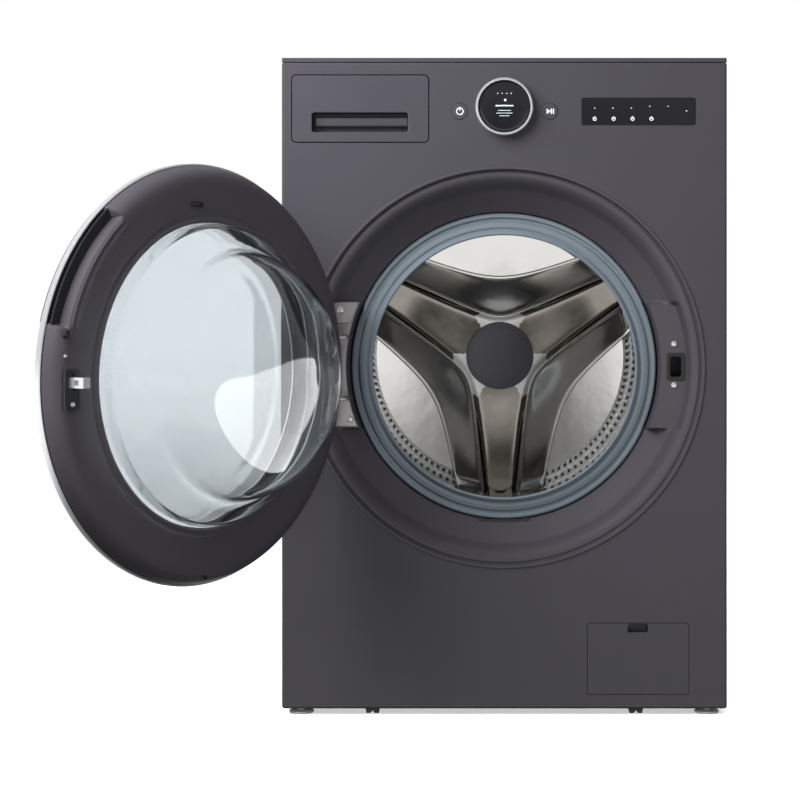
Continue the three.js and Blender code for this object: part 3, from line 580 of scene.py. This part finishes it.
def drum_star():
    """The pressed three-armed star on the drum's back. Its channels take a darker copy of the steel as
    painted shade and reflection, and its corners at the hub take a lighter copy as painted highlight.
    """
    bm = bmesh.new()
    for bisector in BISECTORS:
        levels = star_levels()
        for low, high in zip(levels, levels[1:]):
            known = len(bm.faces)
            add_grid(bm, [star_row(bisector, low), star_row(bisector, high)], wrap=False)
            if not low[3]:
                continue
            bm.faces.ensure_lookup_table()
            for face in bm.faces[known:]:
                centre = face.calc_center_median() / MM
                x, z = centre.x, centre.z - AXIS_Z
                turn = math.degrees(math.atan2(z, x)) - bisector
                between_arms = abs((turn + 180) % 360 - 180) < PAINTED_HIGHLIGHT_CORNER["degrees"]
                in_painted_highlight = between_arms and math.hypot(x, z) < PAINTED_HIGHLIGHT_CORNER["radius"]
                # Channels get the darker steel as painted shade and reflection; corners at the hub get the
                # lighter steel as painted highlight.
                face.material_index = 2 if in_painted_highlight else 1
    piece = show("drum_star", bm, "drum_steel", "drum", sharp=60)
    # Slot 1 is the darker steel of painted shade and reflection, slot 2 the lighter steel of painted
    # highlight.
    piece.data.materials.append(CHANNEL_STEEL_PAINTED_SHADE)
    piece.data.materials.append(FLANK_STEEL_PAINTED_HIGHLIGHT)
    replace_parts(thicken(piece, SHEET_STEEL), "drum_back")


def drum_disc():
    """The plain pressed disc behind the star."""
    radii = [0, 40, 80, 120, 140, 155, 170, 185, 194, DISC_R]
    face = [(r, flank_depth(r)) for r in radii]
    back = [(r, depth + 1.2) for r, depth in reversed(face)]
    turned("drum_disc", [*face, *back], "drum_steel", "drum", steps=180)


def add_perforated(bm, point_at, columns, rows, hole):
    """A sheet of cells on point_at(u, v), each with an eight-sided hole; every second row is shifted."""
    ring = [(-1, -1), (0, -1), (1, -1), (1, 0), (1, 1), (0, 1), (-1, 1), (-1, 0)]
    for j in range(rows):
        for i in range(columns):
            u, v = i + 0.5 + (0.5 if j % 2 else 0.0), j + 0.5
            outer = [bm.verts.new(point_at(u + a / 2, v + b / 2)) for a, b in ring]
            inner = [bm.verts.new(point_at(u + hole * math.cos(t), v + hole * math.sin(t)))
                     for t in (math.atan2(b, a) for a, b in ring)]
            for k in range(8):
                bm.faces.new((outer[k - 1], outer[k], inner[k], inner[k - 1]))


def drum_flank():
    """The perforated flank between the arms, from the disc forward to the wall, in a lighter copy of the
    drum steel as painted highlight.
    """
    bm = bmesh.new()
    columns, rows = 26, 7
    for bisector in BISECTORS:
        def point_at(u, v):
            share = v / rows
            radius = DISC_R - 0.5 + (DRUM_R - 2.0 - DISC_R) * math.sin(share * math.pi / 2)
            limit = level_angle(EDGE[0] - 3, EDGE[1], radius)
            turn = math.radians(bisector) + limit * (2 * u / (columns + 0.5) - 1)
            return place_round(radius, flank_depth(radius), turn)
        add_perforated(bm, point_at, columns, rows, 0.2)
    thicken(show("drum_flank", bm, "drum_steel", "drum", material=FLANK_STEEL_PAINTED_HIGHLIGHT), SHEET_STEEL)


def drum_lip():
    """The rolled front edge of the drum."""
    profile = softened([
        (193.0, 112.0, 1.0), (196.0, 108.8, 1.5), (236.0, 115.5, 8.0), (249.9, 126.0, 8.0),
        (249.9, LIP_END, 0), (248.4, LIP_END, 0), (248.0, 127.0, 8.0), (235.0, 117.4, 8.0),
        (197.0, 110.8, 1.0), (194.2, 113.0, 0.4),
    ])
    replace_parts(turned("drum_lip", profile, "drum_steel", "drum"), "drum_front_ring")


def drum_wall():
    """The drum's perforated cylinder."""
    bm = bmesh.new()
    front, back = LIP_END, flank_depth(DRUM_R - 2.0) + 1
    columns, rows = 108, 19

    def point_at(u, v):
        turn = 2 * math.pi * u / columns
        depth = front + (back - front) * v / rows
        return place_round(DRUM_R - 0.8, depth, turn)
    add_perforated(bm, point_at, columns, rows, 0.15)
    piece = thicken(show("drum_wall", bm, "drum_steel", "drum"), 0.6)
    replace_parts(piece, "drum_shell")


def lifter(name, direction):
    """A pressed paddle with a channel along its crest, placed round the drum by its direction in degrees."""
    half = [(38, 0), (33, 5), (27, 24), (22, 38), (18, 43), (13, 42), (6, 37.5)]
    section = smooth_curve([*((-across, rise) for across, rise in half), (0, 36.5), *reversed(half)], 4)
    turn = math.radians(direction)
    radial = Vector((math.cos(turn), math.sin(turn)))
    along = Vector((-radial.y, radial.x))
    rows = []
    depths = [136, 138, 142, 148, 156, 166, 180, 230, 290, 350, 400, 442]
    for depth in depths:
        height = math.sqrt(smoothstep(depth, 134, 180))
        width = 0.72 + 0.28 * height
        row = []
        for across, rise in section:
            point = radial * (DRUM_R - 1.5 - rise * height) + along * across * width
            row.append(place(point.x, depth, AXIS_Z + point.y))
        rows.append(row)
    bm = bmesh.new()
    add_grid(bm, rows, wrap=False)
    return thicken(show(name, bm, "drum_steel", "drum", sharp=60), SHEET_STEEL)


def hub_cap():
    """The domed cap over the hub."""
    low, high = span("drum_hub_cap")
    radius, front, back = (high.x - low.x) / 2, low.y - FRONT, high.y - FRONT
    profile = softened([(0, front, 0), (radius - 10, front + 0.8, 6), (radius - 1.5, front + 3.0, 2),
                        (radius, front + 5, 1), (radius, back, 0), (0, back, 0)])
    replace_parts(turned("hub_cap", profile, "slate_plastic", "drum"), "drum_hub_cap")


# ---- Front fittings ----
def drawer_front():
    """The drawer's face with its sunk pull, and the bar across it."""
    pull_left, pull_right, pull_bottom, pull_top = -259, -130, 786, 812
    bm = bmesh.new()
    face = rolled(grown_box(DRAWER_LOW, DRAWER_HIGH, 0, 6), 1, 1.0, DRAWER_HIGH.y - DRAWER_LOW.y)
    pull = rolled(rectangle(pull_left, pull_right, pull_bottom, pull_top, 3), -1, 1.4, 19.5)
    add_faced(bm, [face, pull], capped=[0, 1])
    piece = show("drawer_face", bm, "painted_plastic", "drawer")
    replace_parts(piece, "drawer_front")
    bar = bmesh.new()
    section = softened([(7.0, 805.5, 2.5), (17.0, 807.0, 2.0), (18.5, 797.0, 2.0), (9.0, 792.0, 4.0)], 6)
    add_slab(bar, section, pull_left + 5, pull_right - 1.2, lambda depth, z, x: place(x, depth, z))
    show("drawer_pull_bar", bar, "painted_plastic", "drawer")


MARK_EDGE = 0.1  # rounding of the printed and lit marks


def dial():
    """The turning rim, and the glass face with its marks."""
    front = FACE_LOW.y - FRONT
    outer = RING_LOW.y - FRONT
    ring = softened([
        (DIAL_FACE_R + 0.4, -1.0, 0), (DIAL_FACE_R + 0.4, outer + 0.8, 0.5), (DIAL_FACE_R + 1.2, outer, 0.8),
        (DIAL_R - 1.4, outer, 1.2), (DIAL_R, outer + 2.2, 1.2), (DIAL_R, -4.0, 0), (DIAL_R - 0.6, -1.0, 0),
    ])
    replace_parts(turned("dial_rim", ring, "silver_trim", "dial", centre=DIAL), "dial_ring")
    glass_disc = softened([(0, front, 0), (DIAL_FACE_R - 3, front + 0.3, 6), (DIAL_FACE_R, front + 2.0, 1.0),
                           (DIAL_FACE_R, 5.0, 0), (0, 5.0, 0)])
    face = turned("dial_glass", glass_disc, "black_gloss", "cabinet", centre=DIAL)
    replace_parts(face, "dial_display")
    x, z = DIAL
    outlines = [circle(x - 9 + 6 * i, z + 17.5, 0.7, 20) for i in range(4)]
    outlines.append(circle(x + 1, z + 8.5, 1.6, 28))
    for width, height, thick in ((12, 1.0, 0.8), (9, -5.4, 0.35), (11, -9.0, 0.35), (7, -12.6, 0.35)):
        bottom, top = z + height - thick, z + height + thick
        outlines.append(rectangle(x - width, x + width, bottom, top, thick * 0.8))
    marks = bmesh.new()
    for outline in outlines:
        add_plate(marks, outline, front - 0.12, front + 1, MARK_EDGE)
    show("dial_marks", marks, "white_plastic", "cabinet", material=MARK)


MARK_DEPTHS = (-0.9, -0.5)  # front and back of the marks on the buttons


def add_power_mark(bm, x, z):
    """A ring with a bar through its top."""
    ring = [(3.9, -0.66), (3.9, -0.82), (5.0, -0.82), (5.0, -0.66)]
    add_turned(bm, ring, (x, z), 48)
    add_plate(bm, rectangle(x - 0.55, x + 0.55, z + 0.6, z + 6.0, 0.3), *MARK_DEPTHS, MARK_EDGE)


def add_start_mark(bm, x, z):
    """A triangle that points right, and two upright bars."""
    corners = softened([(x - 4.6, z - 3.6, 0.5), (x - 4.6, z + 3.6, 0.5), (x + 0.6, z, 0.5)], 3)
    lines = add_grid(bm, [[place(px, depth, pz) for px, pz in corners] for depth in MARK_DEPTHS])
    bm.faces.new(lines[0])
    for middle in (x + 1.8, x + 4.6):
        bar = rectangle(middle - 0.8, middle + 0.8, z - 3.6, z + 3.6, 0.3)
        add_plate(bm, bar, *MARK_DEPTHS, MARK_EDGE)


def button(node, add_mark):
    """A round button with its mark."""
    x, z, radius = button_place(node)
    cap = softened([(0, -0.5, 0), (radius - 2.0, -0.7, 1.5), (radius - 0.4, -0.4, 0.6), (radius, 0.6, 0.4),
                    (radius, 7, 0), (0, 7, 0)])
    piece = turned(node + "_cap", cap, "painted_plastic", node, centre=(x, z), steps=96)
    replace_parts(piece, node)
    mark = bmesh.new()
    add_mark(mark, x, z)
    show(node + "_mark", mark, "white_plastic", node, material=MARK)


def display():
    """The display's black glass, with dots over touch marks."""
    low, high = DISPLAY_LOW, DISPLAY_HIGH
    front = low.y - FRONT
    bm = bmesh.new()
    add_plate(bm, grown_box(low, high, 0, 2), front, high.y - FRONT, 0.5)
    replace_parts(show("display_glass", bm, "black_gloss", "cabinet"), "display_panel")
    marks = bmesh.new()
    first, pitch = low.x + 17, 25.5
    proud, sunk = front - 0.14, front + 0.2
    ring = [(1.7, front - 0.02), (1.7, proud), (2.7, proud), (2.7, front - 0.02)]
    for i in range(4):
        x, z = first + pitch * i, low.z + 8.2
        add_turned(marks, ring, (x, z), 32)
        add_plate(marks, rectangle(x - 0.45, x + 0.45, z - 0.6, z + 3.6, 0.2), proud, sunk, 0.05)
    for i, height in enumerate((22.5, 22.5, 22.5, 25.0, 25.0, 19.0)):
        x = first + pitch * i * 0.97
        add_plate(marks, circle(x, low.z + height, 0.75, 16), proud, sunk, 0.05)
    show("display_marks", marks, "white_plastic", "cabinet", material=MARK)


def filter_flap():
    """The flap over the drain filter, with a cup behind the notch that a finger pulls."""
    notch_left, notch_right, notch_bottom, notch_top = 166.6, 193.6, 112, 122
    bm = bmesh.new()
    face = rolled(grown_box(FLAP_LOW, FLAP_HIGH, 0, 3), 1, 0.5, PANEL_EDGE)
    notch = rolled(rectangle(notch_left, notch_right, notch_bottom, notch_top, 2.5), -1, 0.8, PANEL_EDGE)
    add_faced(bm, [face, notch])
    piece = thicken(show("filter_flap", bm, "painted_plastic", "filter_door"), 1.4)
    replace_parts(piece, "filter_door")
    cup = bmesh.new()
    section = softened([
        (3.0, notch_top + 1.5, 0), (9.0, notch_top + 1.0, 2.0), (10.0, notch_bottom - 1.5, 3.0),
        (3.0, notch_bottom - 1.5, 0),
    ])
    rows = [[place(x, depth, z) for depth, z in section] for x in (notch_left - 1.1, notch_right + 1.1)]
    for line in add_grid(cup, rows, wrap=False):
        cup.faces.new(line)
    thicken(show("filter_flap_cup", cup, "black_plastic", "filter_door"), 0.8)


def foot(node):
    """A levelling foot: its pad, a hexagonal nut and a threaded stem, drawn as rings of one profile."""
    low, high = span(node)
    x, y, radius = (low.x + high.x) / 2, (low.y + high.y) / 2, (high.x - low.x) / 2
    thread, root, pitch = 5.0, 4.2, 1.5
    z = 9.0  # where the thread starts
    profile = [(0, 0), (radius - 1.5, 0), (radius - 0.4, 0.5), (radius, 1.6), (radius - 0.8, 3.0),
               (radius - 5, 4.2), (7.5, 4.6), (thread, 4.6), (thread, z)]
    while z < high.z - pitch:
        profile += [(thread, z), (root, z + pitch / 2)]
        z += pitch
    profile += [(thread, z), (4.4, high.z), (0, high.z)]
    nut = [(0, 4.4), (6.6, 4.4), (7.0, 4.9), (7.0, 8.3), (6.6, 8.8), (0, 8.8)]
    bm = bmesh.new()
    for upright, steps in ((profile, 48), (nut, 6)):
        rows = []
        for r, height in upright:
            rows.append([((x + r * math.cos(t)) * MM, (y + r * math.sin(t)) * MM, height * MM)
                         for t in turns(steps)])
        add_grid(bm, rows)
    piece = show("levelling_" + node, bm, "zinc_steel", "cabinet", sharp=30, material=FOOT_ZINC)
    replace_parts(piece, node)


def add_screw(bm, x, depth, z, radius, way=1):
    """A pan-head screw with a recess. Its head stands out to the front, or to the back if way is -1."""
    head = [(0, 1.0), (radius * 0.3, 0.9), (radius * 0.36, 2.0), (radius * 0.6, 1.9), (radius * 0.85, 1.4),
            (radius, 0.5), (radius, -0.6), (0, -0.6)]
    add_turned(bm, [(r, depth - way * height) for r, height in head], (x, z), 32)


# ---- Hinge and lock ----
def hinge_bracket():
    """The steel plate beside the opening, its raised block and the two goosenecks that hold the pin."""
    left, bottom, top, inner_radius = -238, -81, 88, 214.6
    front, back, block_front, block_bottom = 18.7, 21.6, 12.5, 58
    heights = [bottom + (top - bottom) * k / 24 for k in range(25)]
    arc = [(-math.sqrt(inner_radius ** 2 - z ** 2), z) for z in heights]
    block = [(x - 1.5, z) for x, z in arc if z > block_bottom]

    def upright(a, b, height):
        return place(a, height, AXIS_Z + b)

    def flat(a, b, height):
        return place(a, b, AXIS_Z + height)
    bm = bmesh.new()
    add_slab(bm, [(left, top), (left, bottom), *arc], front, back, upright)
    corners = [(left + 1, top - 1), (left + 1, block_bottom + 0.5)]
    add_slab(bm, [*corners, *block], block_front, front + 0.1, upright)
    add_slab(bm, [(-234, 57.5), (-234, 54.5), (-214, 54.5), (-212.5, 57.5)], 10.5, 19, upright)
    add_slab(bm, softened([(-232, 47, 3), (-232, 30, 3), (-219, 30, 3), (-219, 47, 3)]), 13, 19, upright)
    neck = softened([(-243.4, -33.2, 6.2), (-208, -31, 7), (-208, 19.7, 0), (-216, 19.7, 0), (-216, -23, 4),
                     (-236, -20.8, 2), (-243.4, -20.8, 6)])
    for low in (-43, 39):
        add_slab(bm, neck, low, low + 4, flat)
    piece = show("hinge_plate", bm, "zinc_steel", "cabinet", sharp=30)
    ease_edges(piece, 0.8, 3)
    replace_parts(piece, "hinge_bracket")
    screws = bmesh.new()
    add_screw(screws, -221, block_front, AXIS_Z + 77, 4.6)
    add_screw(screws, -209, front, AXIS_Z - 71, 4.4)
    show("hinge_screws", screws, "silver_trim", "cabinet")


def lock_screws():
    """The two screws beside the lock's slot."""
    bm = bmesh.new()
    for z in (31, -25):
        add_screw(bm, 231, LAND["depth"], AXIS_Z + z, 4.3)
    show("lock_screws", bm, "silver_trim", "cabinet")


def rear_screws():
    """Screws round the rear panel, the service cover and the top panel's rear flange."""
    bm = bmesh.new()
    panel_low, panel_high = span("rear_panel")
    cover_low, cover_high = span("rear_service_cover")
    depth = panel_high.y - FRONT
    for x in (panel_low.x + 12, panel_high.x - 12):
        for share in (0.03, 0.35, 0.65, 0.97):
            add_screw(bm, x, depth, panel_low.z + share * (panel_high.z - panel_low.z), 3.6, way=-1)
    radius = (cover_high.x - cover_low.x) / 2 - 7
    for i in range(8):
        turn = math.pi / 8 + math.pi / 4 * i
        add_screw(bm, radius * math.cos(turn), depth + 1.4, AXIS_Z + radius * math.sin(turn), 3.4, way=-1)
    show("rear_screws", bm, "zinc_steel", "cabinet")


# ---- Door, built closed and then swung open ----
hinge = joints["door_hinge"]
PIVOT = Vector(hinge["pos_m"])
CLOSED_TO_OPEN = Matrix.Rotation(math.radians(hinge["range_deg"][0]), 4, "Z")
SWING = Matrix.Translation(PIVOT) @ CLOSED_TO_OPEN @ Matrix.Translation(-PIVOT)
TRIM_LOW, TRIM_HIGH = span("door_trim_ring")
DOOR_R = (TRIM_HIGH.z - TRIM_LOW.z) / 2
WINDOW_R = 184.0  # clear middle of the outer glass
COVER = -6.6  # depth of the flat part of the door's inside
GRIP = {"from": 15, "to": 51, "r": 242.0}  # finger recess in the rim, away from the hinge; degrees and mm


def grip_relief(x, z):
    """How far the door's rim is raised at a point: two lips beside the finger recess, less the recess."""
    radius, turn = math.hypot(x, z), math.degrees(math.atan2(z, x))
    ends = smoothstep(turn - GRIP["from"] + 0.6, 0, 1.2) * smoothstep(GRIP["to"] + 0.6 - turn, 0, 1.2)
    lips = sum(math.exp(-((radius - lip) / 1.1) ** 2) for lip in (231.0, 239.4))
    return ends * (1.6 * lips - 13 * smoothstep(radius, GRIP["r"], GRIP["r"] + 2))


def grip_liner():
    """The dark ribbed liner at the bottom of the finger recess."""
    bm = bmesh.new()
    rows = []
    for k in range(9):
        radius = GRIP["r"] + 15 * k / 8
        row = []
        for i in range(181):
            turn = math.radians(GRIP["from"] + (GRIP["to"] - GRIP["from"]) * i / 180)
            depth = -23.5 + 0.7 * math.sin(i * math.pi / 3) * math.sin(k * math.pi / 2 + 0.6)
            row.append(place_round(radius, depth, turn))
        rows.append(row)
    add_grid(bm, rows, wrap=False)
    thicken(show("grip_liner", bm, "black_plastic", "door", door=True), 1.5)


def door_fittings():
    """Small parts on the inside of the door: a stop, a slot at the top, a drain hole and two screws."""
    bm = bmesh.new()
    stop = [(0, COVER - 1), (0, COVER + 3.4), (3.6, COVER + 3.2), (4.8, COVER + 2.0), (5.2, COVER - 1)]
    add_turned(bm, stop, (240, AXIS_Z + 55), 40)
    slot = rectangle(20, 42, AXIS_Z + 205, AXIS_Z + 212, 3)
    steps = ((0, -0.5), (0, 1.4), (-0.8, 1.9), (-2.0, 1.9), (-2.2, -1))
    loops = [[place(x, COVER + rise, z) for x, z in slot(grow)] for grow, rise in steps]
    bm.faces.new(add_grid(bm, loops)[-1])
    drain = [(0, COVER - 1), (0, COVER + 0.3), (2.6, COVER + 0.3), (3.0, COVER - 1)]
    add_turned(bm, drain, (15, AXIS_Z - 247), 24)
    show("door_fittings", bm, "black_plastic", "door", door=True)
    screw = bmesh.new()
    add_screw(screw, 233, -2.8, AXIS_Z - 25, 3.0, way=-1)
    add_screw(screw, 241, -6.2, AXIS_Z + 30, 2.0, way=-1)
    show("latch_screws", screw, "silver_trim", "door", door=True)


FRAME_PROFILE = [
    (187.6, -12.0), (187.6, -9.0), (188.8, -7.4), (191.5, -7.2), (193.5, -8.2), (196, -8.6), (199, -7.4),
    (202, -6.8), (215, COVER), (230, COVER), (238, -7.2), (244, -8.8), (248.5, -11.4), (252, -14.8),
    (254.6, -19), (256.6, -24), (257.4, -27.6),
]


def door_frame():
    """The door's moulded inside, with the finger recess in its rim."""
    rows = []
    for radius, depth in smooth_curve(FRAME_PROFILE, 6):
        row = []
        for turn in turns(720):
            x, z = radius * math.cos(turn), radius * math.sin(turn)
            row.append(place(x, depth + grip_relief(x, z), AXIS_Z + z))
        rows.append(row)
    bm = bmesh.new()
    add_grid(bm, rows)
    piece = thicken(show("door_inner_cover", bm, "bezel_plastic", "door", door=True), 2.0)
    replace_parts(piece, "door_inner_frame")


def door_trim():
    """The bright ring round the door's outer face."""
    outline = softened([
        (250.0, -35.8, 0), (250.0, -39.0, 0.6), (252.0, -40.0, 1.0), (257.0, -39.6, 3.0),
        (DOOR_R, -36.0, 2.5), (DOOR_R, -29.2, 1.0), (258.6, -28.2, 0.6), (257.6, -28.4, 0),
        (257.6, -35.8, 0),
    ])
    piece = turned("door_trim", outline, "silver_trim", "door", steps=256, door=True)
    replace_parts(piece, "door_trim_ring")


def door_glass():
    """The outer glass: a printed black border and the clear window inside it."""
    front, back = -39.9, -36.2
    border = softened([(WINDOW_R, front, 0.4), (249.0, -39.6, 1.0), (249.6, back, 0), (WINDOW_R, back, 0)])
    turned("door_glass_border", border, "black_gloss", "door", steps=256, door=True)
    window = [(0, front), (WINDOW_R - 0.1, front), (WINDOW_R - 0.1, back), (0, back)]
    piece = turned("door_window", window, "clear_glass", "door", steps=256, door=True)
    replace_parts(piece, "door_outer_glass")


BOWL_OUTER = [
    (195.6, -10.6), (190.0, -10.2), (186.2, -8.6), (184.8, 0), (183.2, 7.0), (180.2, 11.4), (167.5, 25.0),
    (158.6, 32.4), (154.2, 37.6), (151.6, 45), (148.5, 57), (143.5, 70), (136, 83.5), (124, 97),
    (107, 110.5), (85, 124), (60, 136.5), (32, 145.5), (0, 149.5),
]
BOWL_WALL = 4.2
BOWL_LEAN = 0.16  # share of its depth that the bowl loses at the top


def bowl_depth(radius, depth, turn):
    """The bowl is deeper towards the bottom, so that it pushes laundry back into the drum."""
    upwards = 0.5 + 0.5 * math.sin(turn)
    return depth * (1 - BOWL_LEAN * smoothstep(depth, 30, 150) * upwards * smoothstep(radius, 0, 150))


def door_bowl():
    """The glass bowl, thicker than the window and deeper towards the bottom."""
    outer = smooth_curve(BOWL_OUTER, 3)
    inner = []
    for i, (radius, depth) in enumerate(outer):
        before, after = Vector(outer[max(i - 1, 0)]), Vector(outer[min(i + 1, len(outer) - 1)])
        slope = (after - before).normalized()
        inner.append((max(radius - slope.y * BOWL_WALL, 0.0), depth + slope.x * BOWL_WALL))
    rows = []
    for radius, depth in [*outer, *reversed(inner), outer[0]]:
        rows.append([place_round(radius, bowl_depth(radius, depth, t), t) for t in turns(160)])
    bm = bmesh.new()
    add_grid(bm, rows)
    piece = show("glass_bowl", bm, "clear_glass", "door", door=True, sharp=70)
    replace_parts(piece, "door_glass_bowl")


# ---- CAD pieces that keep their shape ----
def dress_cad_nodes():
    """Give every node its slot's material, and round the edges of those that show."""
    eased = {"left_side_panel": 0.6, "right_side_panel": 0.6, "top_panel": 1.6, "rear_panel": 0.3,
             "rear_service_cover": 0.4, "hinge_arm": 0.7, "door_latch_plate": 0.6, "door_hook": 0.8,
             "base_pan": 0.8, "drain_filter_cap": 1.2, "drawer_tray": 0.8}
    for part in frame["record"]["subparts"]:
        node = frame["nodes"][part["node"]]
        node.data.materials.clear()
        node.data.materials.append(MATERIALS[part["material_slot"]])
        if part["node"] in eased:
            ease_edges(node, eased[part["node"]])


# ---- Studio ----
def lamp(name, location, target, power, kind="AREA", only=(), seen=False, **settings):
    """A light for every piece, or only for those named. Gloss and glass show it if seen is true."""
    data = bpy.data.lights.new(name, kind)
    data.energy = power
    for key, value in settings.items():
        setattr(data, key, value)
    light = bpy.data.objects.new(name, data)
    light.location = location
    light.rotation_euler = (Vector(target) - Vector(location)).to_track_quat("-Z", "Y").to_euler()
    light.visible_glossy = seen
    light.visible_transmission = seen
    bpy.context.scene.collection.objects.link(light)
    if only:
        lit_pieces = bpy.data.collections.new(name + "_pieces")
        for piece in only:
            lit_pieces.objects.link(bpy.data.objects[piece])
        light.light_linking.receiver_collection = lit_pieces
    return light


def ramp(nodes, links, value, start, end, low, high):
    """A value that goes from low to high while the input goes from start to end."""
    node = nodes.new("ShaderNodeMapRange")
    for name, number in (("From Min", start), ("From Max", end), ("To Min", low), ("To Max", high)):
        node.inputs[name].default_value = number
    links.new(value, node.inputs["Value"])
    return node.outputs["Result"]


def combine(nodes, links, operation, first, second):
    """The product or the larger of two values."""
    node = nodes.new("ShaderNodeMath")
    node.operation = operation
    links.new(first, node.inputs[0])
    links.new(second, node.inputs[1])
    return node.outputs["Value"]


def world():
    """White where the camera sees it. Its light is weaker from below, from the right and from the front."""
    studio_world = bpy.data.worlds.new("studio")
    bpy.context.scene.world = studio_world
    studio_world.use_nodes = True
    nodes, links = studio_world.node_tree.nodes, studio_world.node_tree.links
    background = nodes["Background"]
    background.inputs["Color"].default_value = (1, 1, 1, 1)
    coordinates = nodes.new("ShaderNodeTexCoord")
    split = nodes.new("ShaderNodeSeparateXYZ")
    links.new(coordinates.outputs["Generated"], split.inputs["Vector"])
    around = ramp(nodes, links, split.outputs["Y"], -0.9995, -0.99, 0.1, 1.0)
    right = ramp(nodes, links, split.outputs["X"], 0.45, 0.8, 1.0, 0.25)
    below = ramp(nodes, links, split.outputs["Z"], -0.7, -0.5, 0.1, 1.2)
    above = ramp(nodes, links, split.outputs["Z"], 0.0, 0.08, 1.0, 0.3)
    level = combine(nodes, links, "MULTIPLY", below, above)
    sides = combine(nodes, links, "MULTIPLY", around, right)
    path = nodes.new("ShaderNodeLightPath")
    to_camera, through_glass = path.outputs["Is Camera Ray"], path.outputs["Is Transmission Ray"]
    mix = nodes.new("ShaderNodeMix")
    mix.data_type = "FLOAT"
    behind_glass = ramp(nodes, links, split.outputs["Z"], -0.15, -0.03, 0.4, 1.0)
    links.new(combine(nodes, links, "MAXIMUM", to_camera, behind_glass), mix.inputs["B"])
    links.new(combine(nodes, links, "MAXIMUM", to_camera, through_glass), mix.inputs["Factor"])
    pattern = combine(nodes, links, "MULTIPLY", level, sides)
    softer = ramp(nodes, links, path.outputs["Is Diffuse Ray"], 0, 1, 1.0, 0.2)
    links.new(combine(nodes, links, "MULTIPLY", pattern, softer), mix.inputs["A"])
    links.new(mix.outputs["Result"], background.inputs["Strength"])


def floor():
    """A white sweep that only the camera sees, so that the undersides stay dark."""
    mesh = bpy.data.meshes.new("floor")
    half = 6.0
    corners = [(-half, -half, 0), (half, -half, 0), (half, half, 0), (-half, half, 0)]
    mesh.from_pydata(corners, [], [(0, 1, 2, 3)])
    mesh.materials.append(finish("floor_paper", (0.93, 0.93, 0.93), 0.8, grain=300, relief=0.05, tint=0.01))
    sweep = bpy.data.objects.new("floor", mesh)
    sweep.visible_diffuse = False
    sweep.visible_glossy = False
    sweep.visible_transmission = False
    bpy.context.scene.collection.objects.link(sweep)


def studio():
    """The world, the floor and the lamps."""
    bpy.context.scene.view_settings.view_transform = "Standard"
    world()
    floor()
    middle = (0, -0.3, 0.5)
    lamp("key", (-1.0, -1.25, 1.55), middle, 104, size=1.3)
    lamp("top", (0.2, -0.4, 3.0), middle, 14, size=2.4)
    lamp("rear_fill", (2.4, 2.0, 1.2), (0.3, 0.2, 0.4), 40, size=2.0)
    around_mouth = ["bezel_ring", "gasket", "hub_cap", "drum_star", "drum_flank", "door_inner_cover"]
    lamp("mouth_fill", (0.9, -1.9, 0.3), (-0.1, 0, 0.4), 26, only=around_mouth, size=0.8)
    front_feet = ["levelling_foot_front_left", "levelling_foot_front_right"]
    lamp("feet_fill", (0, -2.2, 0.1), (0, 0, 0), 30, only=front_feet, size=1.5)
    lamp("bowl_card", (1.6, -0.9, -0.7), (0, -0.9, -0.7), 250, only=["glass_bowl"], seen=True,
         shape="ELLIPSE", size=6.6, size_y=3.7)
    sweep_light = lamp("sweep_light", (0, -1, 4), (0, 0, 0), 3.7, kind="SUN", only=["floor"], seen=True,
                       angle=math.radians(70))
    sweep_light.light_linking.blocker_collection = sweep_light.light_linking.receiver_collection


# In metres, millimetres of lens, and shares of the picture's width
CAMERA = {"x": -0.040, "z": 0.575, "distance": 2.6, "lens": 86.85, "shift": (-0.0933, -0.1391)}


def camera():
    """A level view, square on to the front."""
    data = bpy.data.cameras.new("camera")
    data.sensor_width = 36
    data.lens = CAMERA["lens"]
    data.shift_x, data.shift_y = CAMERA["shift"]
    view = bpy.data.objects.new("camera", data)
    view.location = (CAMERA["x"], FRONT * MM - CAMERA["distance"], CAMERA["z"])
    view.rotation_euler = (math.radians(90), 0, 0)
    bpy.context.scene.collection.objects.link(view)
    bpy.context.scene.camera = view


camera()
dress_cad_nodes()
front_panel()
bezel()
lock_escutcheon()
lock_screws()
hinge_bracket()
rear_screws()
gasket()
gasket_clip()
drum_star()
drum_disc()
drum_flank()
drum_lip()
drum_wall()
for name, direction in LIFTERS.items():
    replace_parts(lifter(name.replace("lifter", "paddle"), direction), name)
hub_cap()
drawer_front()
dial()
button("power_button", add_power_mark)
button("start_button", add_start_mark)
display()
filter_flap()
for corner in ("front_left", "front_right", "rear_left", "rear_right"):
    foot("foot_" + corner)
door_frame()
grip_liner()
door_fittings()
door_trim()
door_glass()
door_bowl()
studio()

bpy.context.view_layer.update()
